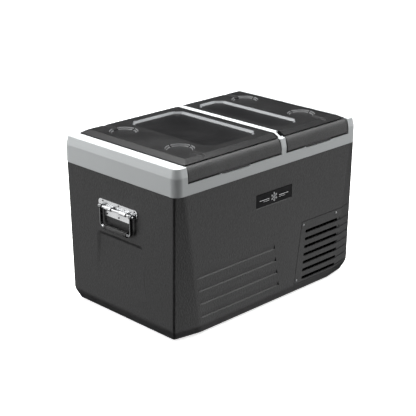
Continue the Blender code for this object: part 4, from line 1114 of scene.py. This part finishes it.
def lid_cover(side):
    """Hollow lid top with two ears for the latch bar's pin."""
    cover = lid_form("%s_lid_cover" % side, side, 0.0)
    bevel(cover, 0.0006, 3, 14)
    apply_modifiers(cover)
    centre = LID_MIDDLE[side]
    for offset in (-EAR_OFFSET, EAR_OFFSET):
        x = around(centre + offset, EAR_HALF)
        ear = rod("ear", "X", (LATCH_Y, LATCH_Z), EAR_RADIUS, *x, sides=24)
        join(ear, block("neck", x, (LATCH_Y, LID_FRONT_WALL + 0.001), around(LATCH_Z, 0.0025)))
        join(cover, ear)
    cavity = lid_form("cavity", side, LID_WALL)
    cut(cavity, *hollow_cutters(side, LID_WALL))
    cut(cover, cavity)
    cut(cover, *hollow_cutters(side))
    cut(cover, rod("bore", "X", (LATCH_Y, LATCH_Z), LATCH_BORE, *around(centre, 0.1), 20))
    cut(cover, hinge_notch(side, (LID_BOTTOM - 0.01, PLATEAU + 0.01)))
    place(cover, "lid_" + side, LID, "lid_%s_cover" % side, angle=24)


def recess_panel(side):
    """Glossy plate that lies on the floor of a lid's eight-sided recess."""
    inset = TRIM_RUN + 0.0002
    corner = RECESS_CHAMFER - inset * TRIM_MITRE
    low = PLATEAU - RECESS_DEPTH + 0.0001
    rings = [recess_ring(side, inset + edge, corner, low + up)
             for edge, up in ((0.0, 0.0), (0.0, 0.0004), (0.0004, 0.0007))]
    place(loft("%s_lid_panel" % side, rings), "lid_" + side, LID_FLOOR)


def lid_trim(side):
    """Silver band that lines the sloping wall of the recess."""
    floor = PLATEAU - RECESS_DEPTH + 0.0003
    section = [(GAP, floor), (GAP, PLATEAU - 0.0006), (GAP + 0.0002, PLATEAU - 0.0004),
               (GAP + 0.0005, PLATEAU - 0.0005), (TRIM_RUN - 0.0003, floor + 0.0003), (TRIM_RUN, floor)]
    rings = [recess_ring(side, inset, RECESS_CHAMFER - inset * TRIM_MITRE, z) for inset, z in section]
    band = loft("%s_lid_trim" % side, rings, closed=True)
    place(band, "lid_" + side, TRIM, "lid_%s_trim" % side, angle=20)


def lid_liner(side):
    """Inner skin of a lid: a flat edge and a tray with round corners."""
    edge = 0.0015
    x = grown(LID_SPANS[side], -edge)
    y = (LID_FRONT_WALL + edge, LID_BACK - edge)
    low, top = span("lid_%s_liner" % side, "Z")
    skin = block("%s_lid_liner" % side, x, y, (top - 0.002, top))

    tub_x, tub_y, _ = TUBS[side]

    def tray(name, radius, levels):
        return loft(name, [round_box(grown(tub_x, grow), grown(tub_y, grow), radius, z)
                           for grow, z in levels])

    levels = ((-0.0115, low), (-0.0085, low + 0.0008), (-0.0073, low + 0.003), (-0.007, top - 0.001))
    join(skin, tray("plug", TUB_RADIUS - 0.006, levels))
    cut(skin, tray("inside", TUB_RADIUS - 0.008, ((-0.009, low + 0.002), (-0.009, top + 0.01))))
    cut(skin, hinge_notch(side, (low - 0.01, PLATEAU)))
    place(skin, "lid_" + side, LINER, "lid_%s_liner" % side, angle=24)


def lid_gasket(side):
    """Rubber seal: a flat foot and a round bulb that closes on the seat."""
    x, y, _ = TUBS[side]
    low, high = span("lid_%s_gasket" % side, "Z")
    centre, out, bulb = 0.0075, 0.0032, 0.0026
    section = [(0.0038, high), (0.0038, high - 0.0008)]
    for k in range(9):
        angle = math.radians(180 + 180 * k / 8)
        section.append((centre + out * math.cos(angle), low + bulb + bulb * math.sin(angle)))
    section += [(0.0112, high - 0.0008), (0.0112, high)]
    rings = [round_box(grown(x, grow), grown(y, grow), TUB_RADIUS + grow, z) for grow, z in section]
    seal = loft("%s_lid_gasket" % side, rings, closed=True)
    place(seal, "lid_" + side, RUBBER, "lid_%s_gasket" % side)


def latch_outline():
    """Cross-section of a latch bar in Y and Z: a skin that curls from its barrel to its foot."""
    barrel = []
    for k in range(17):
        angle = math.radians(142 - (142 + 60) * k / 16)
        barrel.append((LATCH_Y + LATCH_BARREL * math.cos(angle), LATCH_Z + LATCH_BARREL * math.sin(angle)))
    inner = [(0.0115, 0.4225), (0.0068, 0.4165), (0.0058, 0.4085), (0.0085, 0.4050), (0.0085, 0.4022),
             (0.0030, 0.4020), (0.0010, 0.4020)]
    return front_profile() + barrel + [(FRONT + y, z) for y, z in inner]


def latch_bar(side):
    """Latch bar with its tongue, slots for the lid's ears and a black cap on each end."""
    x0, x1 = LATCH_ENDS[side]
    centre = LID_MIDDLE[side]
    axle = (LATCH_Y, LATCH_Z)
    bar = prism("%s_latch_bar" % side, latch_outline(), "X", x0, x1)
    join(bar, block("tongue", around(centre, 0.018), (FRONT + 0.004, FRONT + 0.0125), (0.4045, 0.4085)))
    for offset in (-EAR_OFFSET, EAR_OFFSET):
        x = around(centre + offset, EAR_HALF + 0.0008)
        cut(bar, rod("round", "X", axle, EAR_RADIUS + 0.0005, *x, sides=24),
            block("slot", x, (LATCH_Y, LATCH_Y + 0.01), (LATCH_Z - 0.012, LATCH_Z + 0.01)))
    cut(bar, rod("bore", "X", axle, LATCH_BORE, x0 - 0.01, x1 + 0.01, 20))
    bevel(bar, 0.0005, 2, 50)
    place(bar, "latch_" + side, LATCH, "lid_%s_latch" % side, angle=30)
    near, far = 0.0001, 0.0014
    for k, ends in enumerate(((x0 - far, x0 - near), (x1 + near, x1 + far))):
        cap = prism("%s_latch_cap_%d" % (side, k + 1), latch_outline(), "X", *ends)
        place(cap, "latch_" + side, RUBBER, angle=30)


# ---------------------------------------------------------------- tubs and baskets
def tub(side):
    """Food tub with round corners, a dished floor edge and a flange under the collar."""
    x, y, (low, high) = TUBS[side]
    flange_high = COLLAR_BOTTOM - GAP
    flange_low = flange_high - 0.0032
    outer = [(-0.006, low), (-0.002, low + 0.001), (-0.0004, low + 0.004), (0.0, low + 0.009),
             (0.0, flange_low), (TUB_FLANGE, flange_low), (TUB_FLANGE, flange_high), (0.0, flange_high),
             (0.0, high - 0.0006), (-0.0006, high)]
    inner = [(0.0004, high), (0.0, high - 0.0006), (0.0, low + 0.012), (-0.0008, low + 0.0065),
             (-0.003, low + 0.0035), (-0.008, low + 0.002)]
    section = outer + [(grow - TUB_WALL, z) for grow, z in inner]
    rings = [round_box(grown(x, grow), grown(y, grow), max(TUB_RADIUS + grow, 0.004), z, 8)
             for grow, z in section]
    place(loft("%s_tub" % side, rings), "cabinet", LINER, "liner_%s" % side, angle=40)


def basket(side):
    """Coated wire basket: hoops round it, hairpins down and across it, and a stout rim."""
    thin, stout = 0.0014, 0.0024
    x, y, (low, high) = spans("basket_%s" % side)
    x, y = grown(x, -stout), grown(y, -stout)
    low, high = low + 0.0016, high - 0.0026
    radius = 0.014
    bm = bmesh.new()
    hoops = max(3, round((high - low) / 0.045))
    for k in range(1, hoops + 1):
        z = low + radius + (high - low - radius) * k / hoops
        inset, wire = (0.0, stout) if k == hoops else (0.0022, thin)
        add_tube(bm, round_box(grown(x, -inset), grown(y, -inset), radius, z), wire, 8, closed=True)
    lift = 0.0026
    for axis, along, across in (("Y", x, y), ("X", y, x)):
        count = max(4, round((along[1] - along[0]) / 0.030))
        hairpin = [(across[0], high), (across[0], low), (across[1], low), (across[1], high)]
        path = softened(hairpin, radius, 5, closed=False)
        for k in range(count):
            spot = along[0] + radius + (along[1] - along[0] - 2 * radius) * k / (count - 1)
            if axis == "Y":
                points = [(spot, a, z) for a, z in path]
            else:
                points = [(a, spot, max(z, low) + (lift if z < low + radius else 0.0)) for a, z in path]
            add_tube(bm, points, thin, 8)
    place(to_object("%s_basket" % side, bm), "cabinet", WIRE, "basket_%s" % side, angle=60)


# ---------------------------------------------------------------- end handles
def handle_plate(side):
    """Pressed plate, screwed on along two rows, with two knuckles rolled round the pin."""
    sign = SIGN[side]
    pin_x = sign * HANDLE_X
    back, face = sign * (HANDLE_WALL + 0.0003), sign * (HANDLE_WALL + 0.0019)
    shoulder, top = HANDLE_Z + 0.006, 0.3065
    upper = mirrored([(0.069, HANDLE_Z - 0.002), (0.071, shoulder), (0.071, top - 0.0055), (0.066, top)])
    lower = mirrored([(0.047, 0.2675), (0.048, HANDLE_Z)])
    plate = prism("%s_handle_plate" % side, softened(upper, 0.002, 3), "X", *sorted((back, face)))
    join(plate, prism("lower", softened(lower, 0.002, 3), "X", *sorted((back, face))))
    for centre in (-0.027, 0.027):
        y = around(centre, 0.0115)
        web = block("web", sorted((face - sign * 0.0008, pin_x)), y, around(HANDLE_Z, 0.0048))
        join(web, rod("knuckle", "Y", (pin_x, HANDLE_Z), 0.0050, *y, sides=32))
        join(plate, web)
    cut(plate, rod("bore", "Y", (pin_x, HANDLE_Z), HANDLE_BORE, -0.1, 0.1, 24))
    bevel(plate, 0.0004, 2, 40)
    place(plate, "cabinet", PRESSED, "handle_%s_plate" % side, angle=30)
    rows = ((0.3025, (-0.0605, -0.003, 0.0545)), (0.2730, (-0.044, -0.004, 0.039)))
    for k, (y, z) in enumerate([(y, z) for z, row in rows for y in row]):
        name = "%s_handle_screw_%d" % (side, k + 1)
        place(screw(name, "X", (y, z), face, sign, 0.0024, 0.0010, turn=0.2 + k), "cabinet", PAINT, angle=40)


def handle_pin(side):
    x = middle(span("handle_%s_pin" % side, "X"))
    half = span("handle_%s_pin" % side, "Y")[1]
    radius = 0.003
    dome = ((radius * 0.55, 0.0), (radius * 0.9, 0.0006), (radius, 0.0016))
    profile = [(r, -half + inner) for r, inner in dome] + [(r, half - inner) for r, inner in reversed(dome)]
    pin = turned("%s_handle_pin" % side, "Y", (x, HANDLE_Z), profile, 28)
    place(pin, "cabinet", CHROME, "handle_%s_pin" % side, angle=40)


def handle_bail(side):
    """Bent rod with an eye at the top of each leg."""
    x = SIGN[side] * HANDLE_X
    corner, start = 0.012, HANDLE_Z - 0.004
    points = [(-HANDLE_LEG_Y, start)]
    for sign, order in ((-1, range(0, 13)), (1, range(12, -1, -1))):
        for k in order:
            angle = math.radians(90 * k / 12)
            points.append((sign * (HANDLE_LEG_Y - corner + corner * math.cos(angle)),
                           GRIP_Z + corner - corner * math.sin(angle)))
    points.append((HANDLE_LEG_Y, start))
    bail = tube("%s_handle_bail" % side, [(x, y, z) for y, z in points], HANDLE_ROD, 20)
    for leg in (-HANDLE_LEG_Y, HANDLE_LEG_Y):
        join(bail, rod("eye", "Y", (x, HANDLE_Z), 0.0056, *around(leg, 0.0048), sides=28, edge=0.0006))
    cut(bail, rod("bore", "Y", (x, HANDLE_Z), HANDLE_BORE, -0.1, 0.1, 24))
    place(bail, "handle_" + side, BAIL_SHADED_CHROME, "handle_%s_bail" % side, angle=40)


def handle_grip(side):
    """Rubber sleeve with rounded ends and fine rings near them."""
    r, half = GRIP_RADIUS, GRIP_HALF
    bore = HANDLE_ROD + 0.0004
    outer = [(bore + 0.0002, half - 0.0004), (r - 0.0009, half - 0.0001), (r - 0.0002, half - 0.0006),
             (r, half - 0.0014)]
    for k in range(3):
        y = half - 0.0045 - 0.0026 * k
        outer += [(r, y + 0.0006), (r - 0.0004, y + 0.0002), (r - 0.0004, y - 0.0002), (r, y - 0.0006)]
    outer += [(radius, -y) for radius, y in reversed(outer)]
    profile = outer + [(bore, -half + 0.0008), (bore, half - 0.0008)]
    centre = (SIGN[side] * HANDLE_X, GRIP_Z)
    grip = turned("%s_handle_grip" % side, "Y", centre, profile, 32, closed=True)
    place(grip, "handle_" + side, GRIP, "handle_%s_grip" % side, angle=40)


# ---------------------------------------------------------------- control panel
def control_panel():
    """Frame on the right end, with a box behind it and holes for the buttons and the display."""
    y, z = spans("control_bezel", "YZ")
    levels = ((PANEL_FLOOR + 0.0004, 0.0), (PANEL_FACE - 0.0012, 0.0), (PANEL_FACE - 0.0003, 0.0005),
              (PANEL_FACE, 0.0014))
    bezel = loft("control_frame", [
        lifted(softened(octagon(grown(y, -inset), grown(z, -inset), 0.007), 0.003, 3), "X", x)
        for x, inset in levels])
    box_y, box_z = around(0.0, 0.057), around(PANEL_Z, 0.017)
    wall = 0.0015
    join(bezel, block("box", (PANEL_FLOOR - 0.016, PANEL_FLOOR + 0.002), box_y, box_z))
    cut(bezel, block("inside", (PANEL_FLOOR - 0.020, PANEL_FLOOR + 0.002), grown(box_y, -wall),
                     grown(box_z, -wall)))
    for name in BUTTONS.values():
        y = span(name, "Y")
        radius = (y[1] - y[0]) / 2 + 0.0004
        profile = [(radius, PANEL_FLOOR - 0.004), (radius, PANEL_FACE - 0.0005),
                   (radius + 0.0005, PANEL_FACE), (radius + 0.0025, PANEL_FACE + 0.002)]
        cut(bezel, turned("hole", "X", (middle(y), PANEL_Z), profile, 32))
    x, y, z = spans("display_lens")
    cut(bezel, block("display", (PANEL_FLOOR + 0.0025, PANEL_FACE + 0.01), grown(y, GAP), grown(z, GAP)))
    place(bezel, "cabinet", BLACK, "control_bezel", angle=28)
    levels = ((x[0], 0.0), (x[1] - 0.0004, 0.0), (x[1] - 0.0001, -0.0003), (x[1], -0.0008))
    window = soft_block("display_window", "X", y, z, levels, 0.0012, 3)
    place(window, "cabinet", LENS, "display_lens")


def symbol(kind, centre, face):
    """A raised generic sign on a button."""
    bm = bmesh.new()
    size = 0.0024

    def line(points):
        add_tube(bm, [(face + 0.00005, centre[0] + a, centre[1] + b) for a, b in points], 0.00028, 8)

    def arc(start, end):
        line([(size * math.sin(math.radians(a)), size * math.cos(math.radians(a)))
              for a in range(start, end, 20)])

    if kind == "power":
        arc(40, 321)
        line([(0.0, size * 0.2), (0.0, size * 1.15)])
    elif kind == "mode":
        arc(20, 301)
        line([(-size / 2, 0.0), (0.0, 0.0), (size / 2, 0.0)])
    else:
        way = 1 if kind == "up" else -1
        line([(-size, -way * size * 0.45), (0.0, way * size * 0.55), (size, -way * size * 0.45)])
    return to_object("button_%s_sign" % kind, bm)


def buttons():
    for kind, name in BUTTONS.items():
        (back, face), y, z = spans(name)
        centre = (middle(y), middle(z))
        radius = (y[1] - y[0]) / 2
        profile = [(radius, back), (radius, face - 0.0007), (radius - 0.0002, face - 0.0003),
                   (radius - 0.0008, face - 0.0001), (radius - 0.0016, face - 0.0002),
                   (radius * 0.2, face - 0.0004)]
        cap = turned("%s_cap" % name, "X", centre, profile, 36)
        place(cap, name, RUBBER, name, angle=50)
        place(symbol(kind, centre, face - 0.0003), name, MARK, angle=60)


def power_inlet(name, pins):
    """Flanged socket in the right end, with a row of round pins."""
    y, z = [grown(limits, -INLET_FLANGE) for limits in spans(name, "YZ")]
    floor = PANEL_FLOOR
    levels = ((floor + 0.0004, INLET_FLANGE), (floor + 0.0022, INLET_FLANGE), (floor + 0.0029, 0.0034),
              (floor + 0.0030, 0.0026))
    flange = soft_block(name + "_socket", "X", y, z, levels, 0.003)
    join(flange, block("body", (floor - 0.018, floor + 0.001), grown(y, -GAP), grown(z, -GAP)))
    levels = ((floor - 0.014, -0.0035), (floor + 0.0024, -0.0035), (floor + 0.0030, -0.0029),
              (floor + 0.010, 0.0041))
    cut(flange, soft_block("socket", "X", y, z, levels, 0.002, 3))
    place(flange, "cabinet", BLACK, name, angle=28)
    profile = [(0.0018, floor - 0.0139), (0.0018, floor - 0.003), (0.0015, floor - 0.0023),
               (0.0007, floor - 0.002)]
    for k, offset in enumerate(pins):
        pin = turned("%s_pin_%d" % (name, k + 1), "X", (middle(y) + offset, middle(z)), profile, 20)
        place(pin, "cabinet", STEEL, angle=40)


# ---------------------------------------------------------------- feet and machine bay
def foot(name):
    """Rubber foot with a hollow under it and a small round over its edges."""
    x, y, (low, high) = spans(name)
    radius = (x[1] - x[0]) / 2
    hollow = low + 0.0008
    profile = [(radius * 0.35, hollow), (radius * 0.6, hollow), (radius * 0.66, low), (radius * 0.9, low),
               (radius * 0.98, low + 0.0005), (radius, low + 0.0014), (radius, high - 0.0004),
               (radius - 0.0004, high)]
    pad = turned(name.replace("foot", "rubber_foot"), "Z", (middle(x), middle(y)), profile, 40)
    place(pad, "cabinet", RUBBER, name, angle=40)


def pipes():
    """Copper lines between the compressor, the drier and the condenser."""
    cx, cy = [middle(limits) for limits in spans("compressor", "XY")]
    drier_x, drier_y = [middle(limits) for limits in spans("filter_drier", "XY")]
    low, high = span("filter_drier", "Z")
    condenser_back = span("condenser", "Y")[1] + 0.004
    line, fine, wide = 0.0026, 0.0011, 0.0038
    runs = {
        "discharge_pipe": (line, [
            (cx - 0.030, cy - 0.050, 0.095), (cx - 0.030, cy - 0.064, 0.100), (cx - 0.034, cy - 0.085, 0.130),
            (0.112, -0.06, 0.160), (0.112, -0.12, 0.170), (0.134, condenser_back, 0.172)]),
        "liquid_pipe": (line, [
            (drier_x, drier_y, low + 0.002), (drier_x + 0.002, drier_y - 0.004, low - 0.014),
            (drier_x + 0.004, drier_y - 0.040, low - 0.026), (0.282, -0.09, 0.034),
            (0.280, condenser_back, 0.032)]),
        "capillary_tube": (fine, [
            (drier_x, drier_y, high - 0.002), (drier_x, drier_y, high + 0.010),
            (drier_x - 0.006, drier_y + 0.010, high + 0.018), (drier_x - 0.030, drier_y + 0.060, 0.198),
            (drier_x - 0.050, drier_y + 0.110, 0.200)]),
        "suction_pipe": (wide, [
            (cx - 0.040, cy + 0.034, 0.100), (cx - 0.052, cy + 0.046, 0.106), (cx - 0.060, cy + 0.060, 0.135),
            (cx - 0.050, cy + 0.072, 0.185), (cx - 0.020, cy + 0.076, 0.203)]),
    }
    for name, (radius, points) in runs.items():
        place(tube(name, spline(points, 6), radius, 14), "cabinet", COPPER, angle=60)


KEPT = {
    "foam_insulation": (FOAM, 0.0), "compressor": (PAINT, 0.0012), "compressor_bracket": (STEEL, 0.0006),
    "condenser": (CONDENSER_SHADE, 0.0003), "fan_shroud": (BLACK, 0.0008), "fan_rotor": (BLACK, 0.0003),
    "filter_drier": (COPPER, 0.0004), "control_board": (ALUMINIUM, 0.0008),
}
KEPT_PAIRS = {
    "lid_%s_foam": (FOAM, 0.0012), "lid_%s_latch_pin": (STEEL, 0.0002), "latch_strike_%s": (STEEL, 0.0004),
    "hinge_%s_fixed_leaf": (STEEL, 0.0002), "hinge_%s_moving_leaf": (STEEL, 0.0002),
    "hinge_%s_pin": (STEEL, 0.0003),
}
KEPT.update({name % side: look for name, look in KEPT_PAIRS.items() for side in SIDES})


def kept_nodes():
    """CAD pieces whose shape is right: new materials, and edges that aren't knife-sharp."""
    for name, (material, width) in KEPT.items():
        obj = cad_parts[name]
        obj.data.materials.clear()
        obj.data.materials.append(material)
        if width:
            bevel(obj, width, 2, 40)


# ---------------------------------------------------------------- stage
CAMERA_AT = (-1.997, -1.9935, 1.249)
CAMERA_HEADING = (0.66079, 0.66678, -0.34464)
CAMERA_LENS = 99.86
SENSOR = 36.0

# name, place, aim, size and power of each light
SOFTBOXES = (
    ("top_softbox", (0.3, 0.6, 3.2), (0.0, 0.0, 0.4), (2.6, 2.6), 240),
    ("left_softbox", (-3.0, 1.2, 1.5), (0.0, 0.0, 0.25), (1.6, 1.6), 51),
    ("left_sheet", (-2.0, 1.9, -0.2), (-0.3, 0.0, 0.2), (2.2, 2.6), 14),
    ("front_sheet", (1.55, -2.1, -0.2), (0.0, -0.2, 0.2), (3.9, 2.6), 28),
    ("front_high", (1.3, -1.7, 2.9), (0.05, -0.2, 0.3), (1.8, 1.4), 34),
    ("low_front", (1.0, -1.7, -1.7), (0.0, -0.2, 0.05), (2.2, 1.4), 10),
    ("low_left", (-1.9, 0.9, -1.7), (-0.3, 0.0, 0.05), (1.4, 2.2), 6),
    ("high_sheet", (2.0, -1.2, 2.2), (0.0, -0.2, 0.4), (1.8, 1.8), 22),
    ("back_sheet", (-1.0, 2.0, 2.2), (-0.2, 0.0, 0.4), (1.8, 1.8), 22),
    ("near_fill", (-2.4, -2.7, 0.4), (-0.2, -0.1, 0.3), (2.6, 2.6), 2.0),
)


def softbox(name, at, aim, size, watts):
    light = bpy.data.lights.new(name, "AREA")
    light.shape = "RECTANGLE"
    light.size, light.size_y = size
    light.energy = watts
    obj = bpy.data.objects.new(name, light)
    bpy.context.scene.collection.objects.link(obj)
    obj.location = at
    obj.rotation_mode = "QUATERNION"
    obj.rotation_quaternion = (Vector(aim) - Vector(at)).to_track_quat("-Z", "Y")


def studio():
    scene = bpy.context.scene
    scene.view_settings.view_transform = "Standard"
    camera = bpy.data.objects.new("camera", bpy.data.cameras.new("camera"))
    scene.collection.objects.link(camera)
    camera.location = CAMERA_AT
    camera.rotation_mode = "QUATERNION"
    camera.rotation_quaternion = Vector(CAMERA_HEADING).to_track_quat("-Z", "Y")
    camera.data.lens = CAMERA_LENS
    camera.data.sensor_width = SENSOR
    scene.camera = camera

    floor = loft("studio_floor", [[(x, y, z) for x, y in ((-20, -20), (20, -20), (20, 20), (-20, 20))]
                                  for z in (-0.01, -0.0002)])
    paper, tree, shader = principled("studio_paper", Roughness=0.9, Emission_Color=(1, 1, 1, 1),
                                     Emission_Strength=0.75)
    tone = ranged(tree, noise(tree, coordinates(tree), 3.0), 0.90, 0.92)
    tree.links.new(tone, shader.inputs["Base Color"])
    floor.data.materials.append(paper)
    floor.visible_diffuse = False
    floor.visible_glossy = False
    floor.visible_shadow = False

    world = bpy.data.worlds.new("studio_air")
    scene.world = world
    world.use_nodes = True
    sky = world.node_tree
    background = sky.nodes["Background"]
    direction = node(sky, "ShaderNodeTexCoord").outputs["Generated"]
    height = node(sky, "ShaderNodeSeparateXYZ", {0: direction}).outputs["Z"]
    sky.links.new(ranged(sky, height, 0.012, 0.42, (0.46, 0.95)), background.inputs["Strength"])

    for name, at, aim, size, watts in SOFTBOXES:
        softbox(name, at, aim, size, watts)


# ---------------------------------------------------------------- everything
def build():
    body_shell()
    vent_cover()
    vent_screws()
    badge()
    collar_ring()
    divider_edge()
    scoop_shade_pads()
    seat_shadow_strips()
    for side in SIDES:
        lid_cover(side)
        recess_panel(side)
        lid_trim(side)
        cup_light_rings(side)
        lid_liner(side)
        lid_gasket(side)
        latch_bar(side)
        tub(side)
        basket(side)
        handle_plate(side)
        handle_pin(side)
        handle_bail(side)
        handle_grip(side)
    control_panel()
    buttons()
    power_inlet("dc_inlet", (-0.004, 0.004))
    power_inlet("ac_inlet", (-0.007, 0.0, 0.007))
    for end in ("front", "back"):
        for side in SIDES:
            foot("foot_%s_%s" % (end, side))
    pipes()
    kept_nodes()
    studio()


build()
